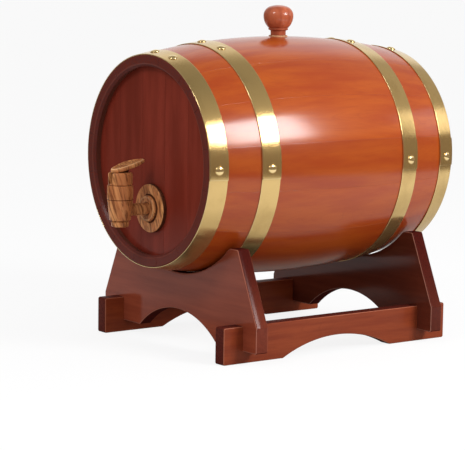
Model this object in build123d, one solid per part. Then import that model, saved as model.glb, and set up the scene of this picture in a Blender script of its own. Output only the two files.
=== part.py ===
from build123d import *

import math
import os

# A small cooper-built oak cask with a wooden key tap, lying in a cross-lapped cradle stand.
# Millimetres, +Z up. The cask lies along Y with the tap at -Y. The floor is z = 0.

# --- Cask: staves and heads ---
CASK_LENGTH = 321.5
END_RADIUS = 108.0  # outside of the staves at either end
BILGE_RISE = 16.6  # how much larger the outside radius is at mid-length
STAVE_COUNT = 16
STAVE_THICKNESS = 12.0
RIM_WIDTH = 9.0  # flat ring at the end of the staves
CHIME_BEVEL = 3.0  # length of the bevel inside that ring
HEAD_RECESS = 9.1  # from the end of the staves to the face of the head
HEAD_THICKNESS = 10.0
CROZE_DEPTH = 3.0  # groove in the staves that holds the head
HEAD_BOARD_COUNT = 5

# --- Hoops and rivets ---
HOOP_THICKNESS = 1.0
HEAD_HOOP_SETBACK = 0.5  # from the end of the staves to the head hoop
HEAD_HOOP_WIDTH = 20.1
QUARTER_HOOP_SETBACK = 58.4
QUARTER_HOOP_WIDTH = 21.5
LAP_START = -5.0  # degrees from +X towards +Z, where the strip's outer end shows
LAP_SPAN = 15.0  # degrees of strip that lie double
RIVET_RADIUS = 4.7
RIVET_HEIGHT = 2.0
RIVET_SHANK_RADIUS = 1.6
LAP_RIVET_ANGLE = 0.0
FRONT_RIVET_ANGLES = (74.0, 90.5)
REAR_RIVET_ANGLES = (80.5, 96.5)

# --- Bung ---
BUNG_OFFSET = 7.5  # behind the middle of the cask
CORK_RADIUS = 10.0  # at its upper end
CORK_TAPER = 3.6  # degrees each side
CORK_PROUD = 1.0
CORK_DEPTH = 15.0
BUNG_NECK_RADIUS = 8.1
BUNG_NECK_HEIGHT = 5.4
BUNG_BEAD_RADIUS = 10.7
BUNG_BEAD_HEIGHT = 2.6
BUNG_BALL_RADIUS = 15.9
BUNG_BALL_LOWER = 12.6  # height of the ball below its widest ring
BUNG_BALL_UPPER = 11.2
BUNG_SHOULDER_SHARE = 0.85  # shoulder arc as a share of the ball's upper height
BUNG_TENON_RADIUS = 4.0
BUNG_TENON_LENGTH = 9.0

# --- Tap ---
TAP_DROP = 48.7  # shank axis below the cask axis
TAP_REACH = 40.3  # from the face of the head to the key axis
FLANGE_RADIUS = 25.0
FLANGE_THICKNESS = 4.6
HUB_RADIUS = 13.5
HUB_HEIGHT = 3.9
SHANK_RADIUS = 6.25
SHANK_INSIDE = 8.0  # how far the shank stands inside the cask
BARREL_RADIUS = 13.2
BARREL_FOOT_RADIUS = 10.8
BARREL_ABOVE = 25.9  # top of the barrel above the shank axis
BARREL_BELOW = 9.7
BARREL_BAND = 14.5  # straight part at the top of the barrel
KEY_RADIUS = 7.0
LINER_WALL = 1.5
PASSAGE_RADIUS = 2.5
COLLAR_RADIUS = 12.4
COLLAR_HEIGHT = 12.8
SPOUT_RADIUS = 9.0
SPOUT_HEIGHT = 6.1
HANDLE_LENGTH = 41.0
HANDLE_WIDTH = 20.0
HANDLE_THICKNESS = 4.5
HANDLE_TILT = 15.8  # degrees, rising towards the cask
HANDLE_LEAD = 11.2  # part of the handle's length in front of the key axis
HANDLE_LIFT = 4.1  # middle of the handle above the collar, at the key axis
SLOT_WIDTH = 6.2  # slot across the collar for the handle's tenon
SLOT_FLOOR = 1.5
SLOT_REVEAL = 4.2  # how far the tenon stops short of the collar's side

# --- Stand ---
STAND_SETBACK = 4.0  # middle of the stand behind the middle of the cask
BOARD_HOOP_GAP = 2.65  # front cradle board to front quarter hoop
BOARD_THICKNESS = 14.5
BOARD_BOTTOM = 12.4  # above the floor
BOARD_ARCH_SPAN = 137.2
BOARD_ARCH_RISE = 26.8
BOARD_WEB = 38.2  # wood between the arch and the saddle
SADDLE_EASE = 9.0  # saddle radius less the cask's radius there
SADDLE_DEPTH = 36.0
HORN_FLAT = 14.2  # level top of a horn, before its corners are rounded
EAR_OVERHANG = 22.1  # beyond the rail's outer face
EAR_HEIGHT = 26.3  # upright edge at the end of the board
RAIL_HALF_SPREAD = 113.4  # from the middle to a rail's outer face
RAIL_THICKNESS = 14.5
RAIL_HEIGHT = 37.8
RAIL_OVERHANG = 23.8  # beyond the cradle board's outer face
RAIL_ARCH_SPAN = 142.8
RAIL_ARCH_RISE = 17.3
CORNER_ROUND = 2.0
SADDLE_ROUND = 8.0  # where the saddle runs out onto the horn
HORN_ROUND = 2.0
EDGE_ROUND = 1.2

# --- Fits ---
SEAT_FIT = 0.03  # glued or driven seats, radial
KEY_FIT = 0.05  # turning key in its cork liner, radial
KEY_GAP = 0.3  # collar above the barrel
SPOUT_GAP = 0.6  # spout ring below the barrel
BUNG_FIT = 0.3  # cork in the bung hole, radial
SADDLE_GAP = 0.3  # cask above the saddle
LAP_FIT = 0.05  # each side of a cross-lap slot

# --- Worked out from the values above ---
HALF_LENGTH = CASK_LENGTH / 2
BILGE_RADIUS = END_RADIUS + BILGE_RISE
STAVE_ARC = (HALF_LENGTH**2 + BILGE_RISE**2) / (2 * BILGE_RISE)
STAVE_ANGLE = 360 / STAVE_COUNT
HEAD_FACE = HALF_LENGTH - HEAD_RECESS
HEAD_BACK = HEAD_FACE - HEAD_THICKNESS
KEY_Y = -HEAD_FACE - TAP_REACH
CASK_Y = -(KEY_Y - max(BARREL_RADIUS, COLLAR_RADIUS) + HALF_LENGTH) / 2
QUARTER_HOOP_EDGE = HALF_LENGTH - QUARTER_HOOP_SETBACK
BOARD_INNER = QUARTER_HOOP_EDGE + BOARD_HOOP_GAP + STAND_SETBACK
BOARD_OUTER = BOARD_INNER + BOARD_THICKNESS
LAP_HEIGHT = (BOARD_BOTTOM + RAIL_HEIGHT) / 2
LINER_RADIUS = KEY_RADIUS + KEY_FIT + LINER_WALL


def cask_radius(y, depth=0.0):
    """Radius at y of the surface that lies depth inside the outside of the staves."""
    return BILGE_RADIUS - STAVE_ARC + math.sqrt((STAVE_ARC - depth) ** 2 - y**2)


GROOVE_RADIUS = cask_radius(HEAD_FACE, STAVE_THICKNESS) + CROZE_DEPTH
AXIS_HEIGHT = (
    BOARD_BOTTOM + BOARD_ARCH_RISE + BOARD_WEB + SADDLE_GAP + cask_radius(BOARD_INNER - STAND_SETBACK)
)
CASK = Pos(0, CASK_Y, AXIS_HEIGHT)
BUNG = CASK * Pos(0, BUNG_OFFSET, cask_radius(BUNG_OFFSET))
TAP = CASK * Pos(0, -HEAD_FACE, -TAP_DROP) * Rot(X=90)  # local +Z points out of the head
KEY = CASK * Pos(0, KEY_Y, -TAP_DROP)  # local +Z is the key's own axis
STAND = Pos(0, CASK_Y + STAND_SETBACK, 0)


# ------------------------------------------------------------------ cask


def chime_points(side):
    """Outline of one end of a stave, from its rim to the inner lip of the croze."""
    inside = STAVE_THICKNESS
    bevel_end = HALF_LENGTH - CHIME_BEVEL
    points = [
        (END_RADIUS, HALF_LENGTH),
        (END_RADIUS - RIM_WIDTH, HALF_LENGTH),
        (cask_radius(bevel_end, inside), bevel_end),
        (cask_radius(HEAD_FACE, inside), HEAD_FACE),
        (GROOVE_RADIUS, HEAD_FACE),
        (GROOVE_RADIUS, HEAD_BACK),
        (cask_radius(HEAD_BACK, inside), HEAD_BACK),
    ]
    return [(radius, side * y) for radius, y in points]


def stave_section():
    """Section of a stave along the cask: radius across, length up."""
    rear = chime_points(1)
    front = chime_points(-1)
    outside = ThreePointArc(rear[0], (BILGE_RADIUS, 0), front[0])
    inside = ThreePointArc(rear[-1], (BILGE_RADIUS - STAVE_THICKNESS, 0), front[-1])
    return make_face(outside + inside + Polyline(rear) + Polyline(front))


def turned(section, angle, middle):
    """The section swept through angle about the cask's axis, centred on middle degrees up from +X."""
    return Rot(Y=-middle - angle / 2) * revolve(section, Axis.Y, angle)


def cork_cone(clearance):
    """Tapered cork, or with a clearance the tapered hole it sits in."""
    length = CORK_PROUD + CORK_DEPTH
    shrink = length * math.tan(math.radians(CORK_TAPER))
    top = CORK_RADIUS + clearance
    return Pos(0, 0, CORK_PROUD) * Cone(
        top - shrink, top, length, align=(Align.CENTER, Align.CENTER, Align.MAX)
    )


def make_staves():
    """Staves run from the bung stave at the top, each a turn of one stave angle further on."""
    section = stave_section()
    staves = {}
    for index in range(STAVE_COUNT):
        stave = CASK * turned(section, STAVE_ANGLE, 90 - index * STAVE_ANGLE)
        if index == 0:
            stave -= BUNG * cork_cone(BUNG_FIT)
        staves[f"stave_{index + 1:02d}"] = stave
    return staves


def make_head(name, side):
    """Upright boards that make one head, edge to edge, seated in the croze."""
    radius = GROOVE_RADIUS - SEAT_FIT
    width = 2 * radius / HEAD_BOARD_COUNT
    middle = side * (HEAD_FACE + HEAD_BACK) / 2
    disc = Rot(X=90) * Cylinder(radius, HEAD_THICKNESS)
    if side < 0:
        disc -= Pos(0, 0, -TAP_DROP) * Rot(X=90) * Cylinder(SHANK_RADIUS + SEAT_FIT, HEAD_THICKNESS)
    boards = {}
    for index in range(HEAD_BOARD_COUNT):
        centre = (index + 0.5) * width - radius
        board = disc & Pos(centre, 0, 0) * Box(width, HEAD_THICKNESS, 2 * radius)
        boards[f"{name}_{index + 1}"] = CASK * Pos(0, middle, 0) * board
    return boards


# ------------------------------------------------------------------ hoops


def band_section(near, far, depth, thickness):
    """Thin section that follows the staves from y = near to y = far."""
    outer = depth - thickness
    middle = (near + far) / 2
    inside = ThreePointArc(*[(cask_radius(y, depth), y) for y in (near, middle, far)])
    outside = ThreePointArc(*[(cask_radius(y, outer), y) for y in (near, middle, far)])
    return make_face(
        inside + outside + Line(inside @ 0, outside @ 0) + Line(inside @ 1, outside @ 1)
    )


def on_hoop(y, angle, layers):
    """Place on a hoop's outside where local +Z is its outward normal."""
    tilt = math.degrees(math.asin(y / STAVE_ARC))
    lift = STAVE_ARC + SEAT_FIT + layers * HOOP_THICKNESS
    return CASK * Rot(Y=-angle) * Pos(BILGE_RADIUS - STAVE_ARC) * Rot(Z=tilt) * Pos(lift) * Rot(Y=90)


def rivet(layers):
    """Domed head with a shank through the strips under it."""
    dome = (RIVET_RADIUS**2 + RIVET_HEIGHT**2) / (2 * RIVET_HEIGHT)
    upper_half = Box(4 * dome, 4 * dome, 2 * dome, align=(Align.CENTER, Align.CENTER, Align.MIN))
    head = (Pos(0, 0, RIVET_HEIGHT - dome) * Sphere(dome)) & upper_half
    shank = Cylinder(
        RIVET_SHANK_RADIUS,
        layers * HOOP_THICKNESS,
        align=(Align.CENTER, Align.CENTER, Align.MAX),
    )
    return head + shank


def make_hoop(name, setback, width, side, top_angles):
    """One riveted strip hoop and its rivets."""
    far = side * (HALF_LENGTH - setback)
    near = side * (HALF_LENGTH - setback - width)
    strip = band_section(near, far, -SEAT_FIT, HOOP_THICKNESS)
    double = band_section(near, far, -SEAT_FIT, 2 * HOOP_THICKNESS)
    hoop = CASK * (revolve(strip, Axis.Y) + turned(double, LAP_SPAN, LAP_START + LAP_SPAN / 2))
    places = [(LAP_RIVET_ANGLE, 2)] + [(angle, 1) for angle in top_angles]
    rivets = []
    for angle, layers in places:
        place = on_hoop((near + far) / 2, angle, layers)
        hoop -= place * Cylinder(RIVET_SHANK_RADIUS + SEAT_FIT, 6 * HOOP_THICKNESS)
        rivets.append(place * rivet(layers))
    return {f"{name}_hoop": hoop, f"{name}_rivets": Compound(children=rivets)}


# ------------------------------------------------------------------ bung


def crown_arcs(widest):
    """Flattened upper half of the knob's ball: a shoulder arc and a wider arc that meet smoothly."""
    shoulder_radius = BUNG_SHOULDER_SHARE * BUNG_BALL_UPPER
    inset = BUNG_BALL_RADIUS - shoulder_radius
    drop = BUNG_BALL_UPPER - shoulder_radius
    dome_radius = shoulder_radius + (inset**2 + drop**2) / (2 * drop)
    shoulder_middle = Vector(inset, widest)
    dome_middle = Vector(0, widest + BUNG_BALL_UPPER - dome_radius)
    meeting = shoulder_middle + (shoulder_middle - dome_middle).normalized() * shoulder_radius
    shoulder = TangentArc((BUNG_BALL_RADIUS, widest), meeting, tangent=(0, 1))
    dome = TangentArc((0, widest + BUNG_BALL_UPPER), meeting, tangent=(1, 0))
    return shoulder, dome


def make_bung():
    """Tapered cork, and the turned knob that lifts it."""
    bead_foot = CORK_PROUD + BUNG_NECK_HEIGHT
    bead_top = bead_foot + BUNG_BEAD_HEIGHT
    widest = bead_top + BUNG_BALL_LOWER
    flank = TangentArc(
        (BUNG_BALL_RADIUS, widest), (BUNG_BEAD_RADIUS, bead_top), tangent=(0, -1)
    )
    shoulder, dome = crown_arcs(widest)
    foot = Polyline(
        (BUNG_BEAD_RADIUS, bead_top),
        (BUNG_BEAD_RADIUS, bead_top - BUNG_BEAD_HEIGHT / 2),
        (BUNG_NECK_RADIUS, bead_foot),
        (BUNG_NECK_RADIUS, CORK_PROUD),
        (BUNG_TENON_RADIUS, CORK_PROUD),
        (BUNG_TENON_RADIUS, CORK_PROUD - BUNG_TENON_LENGTH),
        (0, CORK_PROUD - BUNG_TENON_LENGTH),
        (0, widest + BUNG_BALL_UPPER),
    )
    knob = revolve(Plane.XZ * make_face(flank + shoulder + dome + foot), Axis.Z)
    socket = Pos(0, 0, CORK_PROUD) * Cylinder(
        BUNG_TENON_RADIUS + SEAT_FIT,
        BUNG_TENON_LENGTH,
        align=(Align.CENTER, Align.CENTER, Align.MAX),
    )
    return {"bung_knob": BUNG * knob, "bung_cork": BUNG * (cork_cone(0) - socket)}


# ------------------------------------------------------------------ tap


def post(radius, low, high):
    """Upright cylinder on the local axis from z = low to z = high."""
    return Pos(0, 0, low) * Cylinder(
        radius, high - low, align=(Align.CENTER, Align.CENTER, Align.MIN)
    )


def make_tap_flange():
    """Round escutcheon with a raised hub, flat against the head."""
    disc = post(FLANGE_RADIUS, 0, FLANGE_THICKNESS)
    disc = fillet(disc.edges().group_by(Axis.Z)[-1], FLANGE_THICKNESS / 2)
    hub = post(HUB_RADIUS, FLANGE_THICKNESS, FLANGE_THICKNESS + HUB_HEIGHT)
    hub = fillet(hub.edges().group_by(Axis.Z)[-1], HUB_HEIGHT / 3)
    hole = post(SHANK_RADIUS + SEAT_FIT, 0, FLANGE_THICKNESS + HUB_HEIGHT)
    return TAP * (disc + hub - hole)


def make_tap_body():
    """Upright barrel with a shank through the head, bored for the liner and the passage."""
    outline = Polyline(
        (0, -BARREL_BELOW),
        (BARREL_FOOT_RADIUS, -BARREL_BELOW),
        (BARREL_RADIUS, BARREL_ABOVE - BARREL_BAND),
        (BARREL_RADIUS, BARREL_ABOVE),
        (0, BARREL_ABOVE),
        close=True,
    )
    barrel = revolve(Plane.XZ * make_face(outline), Axis.Z)
    reach = TAP_REACH + HEAD_THICKNESS + SHANK_INSIDE
    to_cask = Rot(X=-90)
    body = barrel + to_cask * post(SHANK_RADIUS, 0, reach)
    body -= to_cask * post(PASSAGE_RADIUS, 0, reach)
    return KEY * (body - post(LINER_RADIUS, -BARREL_BELOW, BARREL_ABOVE))


def make_tap_liner():
    """Cork sleeve in the barrel, open towards the shank."""
    sleeve = post(LINER_RADIUS - SEAT_FIT, -BARREL_BELOW, BARREL_ABOVE)
    sleeve -= post(KEY_RADIUS + KEY_FIT, -BARREL_BELOW, BARREL_ABOVE)
    return KEY * (sleeve - Rot(X=-90) * post(PASSAGE_RADIUS, 0, 2 * LINER_RADIUS))


def make_tap_key():
    """Turning key: plug with a side port a quarter turn from the shank, and a slotted collar."""
    foot = -BARREL_BELOW - SPOUT_GAP - SPOUT_HEIGHT
    collar_foot = BARREL_ABOVE + KEY_GAP
    collar_top = collar_foot + COLLAR_HEIGHT
    collar = post(COLLAR_RADIUS, collar_foot, collar_top)
    collar = fillet(collar.edges().group_by(Axis.Z)[-1], COLLAR_HEIGHT / 8)
    slot_height = COLLAR_HEIGHT - SLOT_FLOOR
    slot = Pos(0, 0, collar_top) * Box(
        SLOT_WIDTH, 2 * COLLAR_RADIUS, slot_height, align=(Align.CENTER, Align.CENTER, Align.MAX)
    )
    key = post(KEY_RADIUS, foot, collar_foot) + collar - slot
    key -= post(PASSAGE_RADIUS, foot, PASSAGE_RADIUS)
    return KEY * (key - Rot(Y=90) * post(PASSAGE_RADIUS, 0, 2 * KEY_RADIUS))


def make_tap_handle():
    """Tilted oval leaf on a tenon that stands in the collar's slot."""
    collar_top = BARREL_ABOVE + KEY_GAP + COLLAR_HEIGHT
    at_axis = Pos(0, 0, collar_top + HANDLE_LIFT) * Rot(X=HANDLE_TILT)
    leaf = extrude(Ellipse(HANDLE_WIDTH / 2, HANDLE_LENGTH / 2), HANDLE_THICKNESS / 2, both=True)
    leaf = fillet(leaf.edges(), HANDLE_THICKNESS / 3)
    leaf = at_axis * Pos(0, HANDLE_LENGTH / 2 - HANDLE_LEAD, 0) * leaf
    leaf -= post(COLLAR_RADIUS, collar_top - HANDLE_LENGTH, collar_top + SEAT_FIT)
    tenon_floor = collar_top - COLLAR_HEIGHT + SLOT_FLOOR
    tenon = Pos(0, 0, tenon_floor) * Box(
        SLOT_WIDTH - 2 * SEAT_FIT,
        2 * (COLLAR_RADIUS - SLOT_REVEAL),
        COLLAR_HEIGHT + 2 * HANDLE_LIFT,
        align=(Align.CENTER, Align.CENTER, Align.MIN),
    )
    above_leaf = at_axis * Box(
        HANDLE_LENGTH,
        2 * HANDLE_LENGTH,
        2 * COLLAR_HEIGHT,
        align=(Align.CENTER, Align.CENTER, Align.MIN),
    )
    return KEY * (leaf + (tenon - above_leaf))


def make_spout_ring():
    """Turned ring on the key's lower end, where the drink runs out."""
    top = -BARREL_BELOW - SPOUT_GAP
    ring = post(SPOUT_RADIUS, top - SPOUT_HEIGHT, top)
    ring = fillet(ring.edges().group_by(Axis.Z)[0], SPOUT_HEIGHT / 5)
    return KEY * (ring - post(KEY_RADIUS + SEAT_FIT, top - SPOUT_HEIGHT, top))


# ------------------------------------------------------------------ stand


def rounded_corner(face, x, y, radius):
    """The face with its corners at plus and minus x and at y rounded off."""
    corners = [v for v in face.vertices() if math.isclose(abs(v.X), x) and math.isclose(v.Y, y)]
    return fillet(corners, radius)


def arch_corner(span, rise):
    """Largest tidy rounding where an arch meets the underside."""
    return min(CORNER_ROUND, span / 4, rise / 4)


def cradle_outline(local_radius):
    """Face of a cradle board: saddle above, horns, ears, and the arch below."""
    ear = RAIL_HALF_SPREAD + EAR_OVERHANG
    ear_top = BOARD_BOTTOM + EAR_HEIGHT
    arch_end = BOARD_ARCH_SPAN / 2
    saddle_radius = local_radius + SADDLE_EASE
    saddle_low = AXIS_HEIGHT - local_radius - SADDLE_GAP
    horn_top = saddle_low + SADDLE_DEPTH
    saddle_end = math.sqrt(saddle_radius**2 - (saddle_radius - SADDLE_DEPTH) ** 2)
    horn = saddle_end + HORN_FLAT
    right = [
        (arch_end, BOARD_BOTTOM),
        (ear, BOARD_BOTTOM),
        (ear, ear_top),
        (horn, horn_top),
        (saddle_end, horn_top),
    ]
    left = [(-x, z) for x, z in right]
    saddle = ThreePointArc(right[-1], (0, saddle_low), left[-1])
    arch = ThreePointArc(left[0], (0, BOARD_BOTTOM + BOARD_ARCH_RISE), right[0])
    face = make_face(Polyline(right) + Polyline(left) + saddle + arch)
    face = rounded_corner(face, ear, BOARD_BOTTOM, CORNER_ROUND)
    face = rounded_corner(face, ear, ear_top, CORNER_ROUND)
    face = rounded_corner(face, horn, horn_top, HORN_ROUND)
    face = rounded_corner(face, saddle_end, horn_top, SADDLE_ROUND)
    return rounded_corner(face, arch_end, BOARD_BOTTOM, arch_corner(BOARD_ARCH_SPAN, BOARD_ARCH_RISE))


def rail_outline():
    """Face of a rail: flat top, and an arch between its two feet."""
    half = BOARD_OUTER + RAIL_OVERHANG
    arch_end = RAIL_ARCH_SPAN / 2
    arch = ThreePointArc((-arch_end, 0), (0, RAIL_ARCH_RISE), (arch_end, 0))
    rest = Polyline(
        (arch_end, 0), (half, 0), (half, RAIL_HEIGHT), (-half, RAIL_HEIGHT), (-half, 0), (-arch_end, 0)
    )
    face = make_face(rest + arch)
    face = rounded_corner(face, half, 0, CORNER_ROUND)
    face = rounded_corner(face, half, RAIL_HEIGHT, CORNER_ROUND)
    return rounded_corner(face, arch_end, 0, arch_corner(RAIL_ARCH_SPAN, RAIL_ARCH_RISE))


def plank(outline, plane, thickness):
    """The outline as a board with eased edges, its middle on the plane."""
    board = extrude(plane * outline, thickness / 2, both=True)
    broad_faces = board.faces().sort_by(Axis(plane.origin, plane.z_dir))
    return fillet(broad_faces[0].edges() + broad_faces[-1].edges(), EDGE_ROUND)


def make_stand():
    """Two cradle boards cross-lapped over two rails."""
    board_y = (BOARD_INNER + BOARD_OUTER) / 2
    rail_x = RAIL_HALF_SPREAD - RAIL_THICKNESS / 2
    board_slot = Pos(0, 0, LAP_HEIGHT) * Box(
        RAIL_THICKNESS + 2 * LAP_FIT,
        2 * BOARD_THICKNESS,
        LAP_HEIGHT,
        align=(Align.CENTER, Align.CENTER, Align.MAX),
    )
    rail_slot = Pos(0, 0, LAP_HEIGHT) * Box(
        2 * RAIL_THICKNESS,
        BOARD_THICKNESS + 2 * LAP_FIT,
        RAIL_HEIGHT,
        align=(Align.CENTER, Align.CENTER, Align.MIN),
    )
    stand = {}
    for name, side in (("front", -1), ("rear", 1)):
        local_radius = cask_radius(side * BOARD_INNER + STAND_SETBACK)
        board = plank(cradle_outline(local_radius), Plane.XZ, BOARD_THICKNESS)
        for slot_side in (-1, 1):
            board -= Pos(slot_side * rail_x, 0, 0) * board_slot
        stand[f"{name}_cradle_board"] = STAND * Pos(0, side * board_y, 0) * board
    for name, side in (("left", -1), ("right", 1)):
        rail = plank(rail_outline(), Plane.YZ, RAIL_THICKNESS)
        for slot_side in (-1, 1):
            rail -= Pos(0, slot_side * board_y, 0) * rail_slot
        stand[f"{name}_rail"] = STAND * Pos(side * rail_x, 0, 0) * rail
    return stand


def make_hoops():
    """Head and quarter hoops at both ends."""
    hoops = {}
    for end, side, angles in (("front", -1, FRONT_RIVET_ANGLES), ("rear", 1, REAR_RIVET_ANGLES)):
        hoops |= make_hoop(f"{end}_head", HEAD_HOOP_SETBACK, HEAD_HOOP_WIDTH, side, angles)
        hoops |= make_hoop(f"{end}_quarter", QUARTER_HOOP_SETBACK, QUARTER_HOOP_WIDTH, side, angles)
    return hoops


parts = make_staves()
parts |= make_head("front_head_board", -1)
parts |= make_head("rear_head_board", 1)
parts |= make_hoops()
parts |= make_bung()
parts |= {
    "tap_flange": make_tap_flange(),
    "tap_body": make_tap_body(),
    "tap_liner": make_tap_liner(),
    "tap_key": make_tap_key(),
    "tap_handle": make_tap_handle(),
    "tap_spout_ring": make_spout_ring(),
}
parts |= make_stand()

os.makedirs("parts", exist_ok=True)
for node, shape in parts.items():
    export_step(shape, f"parts/{node}.step")
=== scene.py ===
"""Looks of a small oak cask on its stand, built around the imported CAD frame. Lengths are millimetres."""

import logging
import math
from dataclasses import dataclass, field
from enum import Enum
from typing import Sequence, Union

import bmesh
import bpy
import numpy as np
from mathutils import Matrix, Vector


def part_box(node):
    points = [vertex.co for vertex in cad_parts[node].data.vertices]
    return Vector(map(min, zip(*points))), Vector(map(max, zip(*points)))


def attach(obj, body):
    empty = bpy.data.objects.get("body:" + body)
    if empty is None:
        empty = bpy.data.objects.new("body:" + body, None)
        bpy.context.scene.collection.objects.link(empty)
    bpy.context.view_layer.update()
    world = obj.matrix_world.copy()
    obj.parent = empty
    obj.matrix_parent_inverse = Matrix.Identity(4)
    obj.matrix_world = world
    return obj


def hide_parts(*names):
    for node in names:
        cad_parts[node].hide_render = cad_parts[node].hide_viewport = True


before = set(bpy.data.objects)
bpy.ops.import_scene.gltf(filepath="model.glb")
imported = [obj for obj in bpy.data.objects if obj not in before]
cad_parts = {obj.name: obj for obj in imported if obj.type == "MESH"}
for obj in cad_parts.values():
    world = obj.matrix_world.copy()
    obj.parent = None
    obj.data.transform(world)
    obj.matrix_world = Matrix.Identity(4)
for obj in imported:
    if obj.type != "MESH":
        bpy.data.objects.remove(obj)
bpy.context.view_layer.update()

METRE = 0.001  # one millimetre, in Blender's metres
WELD = 0.002  # vertices nearer than this are one
CLEARANCE = 0.03  # between pieces that touch
CREASE = 40.0  # degrees above which an edge stays sharp, for most pieces
MARKS = ("tint", "edge", "stain")  # a board's own tone, also painted shade on the rear cradle board and a low stave; the tone of its edges, worn and partly a painted highlight; dark stain of soaked end grain, also painted shade in grooves, recesses and under parts
SOAK_AND_SHADE, RECESS_SHADE = 1.0, 2.0  # marks of soaked end grain, also used as painted shade in grooves and in the tap's slot; and painted shade of the recess inside the cask's rim
LOWEST_STAVE = "stave_09"

log = logging.getLogger("cask")
Array = np.ndarray
Colour = tuple[int, int, int]


# ---------------------------------------------------------------- names


class Body(Enum):
    """The CAD bodies that pieces ride on."""

    STAND = "stand"
    CASK = "cask"
    BUNG = "bung"
    KEY = "key"


class Grain(Enum):
    """Direction of the wood's grain, as the axis it runs along."""

    ALONG_X = 0
    ALONG_Y = 1
    ALONG_Z = 2

    def stretch(self, across: float, along: float) -> tuple[float, float, float]:
        """Pattern scale on each axis: across the grain on two of them, along it on the third."""
        scale = [across, across, across]
        scale[self.value] = along
        return tuple(scale)


# ---------------------------------------------------------------- frame


def box_mm(node: str) -> Array:
    """Lowest and highest corner of a CAD node, in millimetres, as a 2 by 3 array."""
    return np.array([list(corner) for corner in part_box(node)]) / METRE


def middle(node: str) -> Array:
    """Middle of a CAD node's box, in millimetres."""
    return box_mm(node).mean(axis=0)


# ---------------------------------------------------------------- curves


def joined(across: Array, ahead: Array, up: Array) -> Array:
    """Points from their three coordinates, each spread to the shape that all of them share."""
    return np.stack(np.broadcast_arrays(across, ahead, up), axis=-1)


def arc(centre: Sequence[float], radius: float, start: float, end: float, count: int) -> Array:
    """Points of a circle in the plane: centre + radius (cos a, sin a).

    Args:
        centre: The circle's centre.
        radius: The circle's radius.
        start: First angle in degrees.
        end: Last angle in degrees.
        count: How many points.

    Returns:
        A count by 2 array.
    """
    turn = np.radians(np.linspace(start, end, count))
    return np.asarray(centre) + radius * np.stack([np.cos(turn), np.sin(turn)], axis=1)


def chord_arc(left: Sequence[float], right: Sequence[float], rise: float, count: int) -> Array:
    """Circular arc from left to right that rises above, or with a minus sign below, its chord.

    The circle through both ends has the radius (half chord squared + rise squared) / (2 rise).
    """
    left, right = np.asarray(left, float), np.asarray(right, float)
    half = np.linalg.norm(right - left) / 2
    radius = (half**2 + rise**2) / (2 * rise)
    offset = np.linspace(-half, half, count)
    height = np.sign(radius) * np.sqrt(radius**2 - offset**2) - radius + rise
    return np.stack([(left[0] + right[0]) / 2 + offset, left[1] + height], axis=1)


def rounded(corners: Sequence[Sequence[float]], steps: int = 4) -> Array:
    """Open path through corners (x, y, radius), each turned into a tangent arc of steps points."""
    points = np.array([corner[:2] for corner in corners], float)
    path = [points[:1]]
    for before, here, after, corner in zip(points, points[1:], points[2:], corners[1:]):
        back = (before - here) / np.linalg.norm(before - here)
        ahead = (after - here) / np.linalg.norm(after - here)
        if corner[2] == 0:
            path.append(here[None])
            continue
        half = math.acos(float(np.clip(back @ ahead, -1, 1))) / 2
        bisector = (back + ahead) / np.linalg.norm(back + ahead)
        centre = here + bisector * corner[2] / math.sin(half)
        first = here + back * corner[2] / math.tan(half) - centre
        last = here + ahead * corner[2] / math.tan(half) - centre
        share = np.linspace(0, 1, steps)[:, None]
        spread = math.pi - 2 * half
        swing = (np.sin((1 - share) * spread) * first + np.sin(share * spread) * last) / math.sin(spread)
        path.append(centre + swing)
    path.append(points[-1:])
    return np.concatenate(path)


def closed(corners: Sequence[Sequence[float]], steps: int = 4) -> Array:
    """Closed path through corners (x, y, radius); the first corner stays sharp."""
    return rounded([*corners, corners[0]], steps)[:-1]


def quarter_round(radius: float, steps: int, lead: float) -> tuple[Array, Array]:
    """Rounded edge from a flat face to the side below it.

    Args:
        radius: Radius of the rounding.
        steps: Faces across it.
        lead: How far in on the flat face the first point lies.

    Returns:
        How far each point lies in from the side, and how far below the face.
    """
    turn = np.linspace(0, math.pi / 2, steps + 1)
    inset = np.concatenate([[radius + lead], radius * (1 - np.sin(turn))])
    depth = np.concatenate([[0.0], radius * (1 - np.cos(turn))])
    return inset, depth


# ---------------------------------------------------------------- meshes


def linked(name: str, data: bpy.types.ID) -> bpy.types.Object:
    """A new object of the scene that shows this mesh, lamp or camera."""
    item = bpy.data.objects.new(name, data)
    bpy.context.scene.collection.objects.link(item)
    return item


def shade_smooth(mesh: bpy.types.Mesh, crease: float) -> None:
    """Smooth shading, with edges above the crease angle left sharp."""
    mesh.polygons.foreach_set("use_smooth", np.ones(len(mesh.polygons), bool))
    mesh.set_sharp_from_angle(angle=math.radians(crease))


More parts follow.
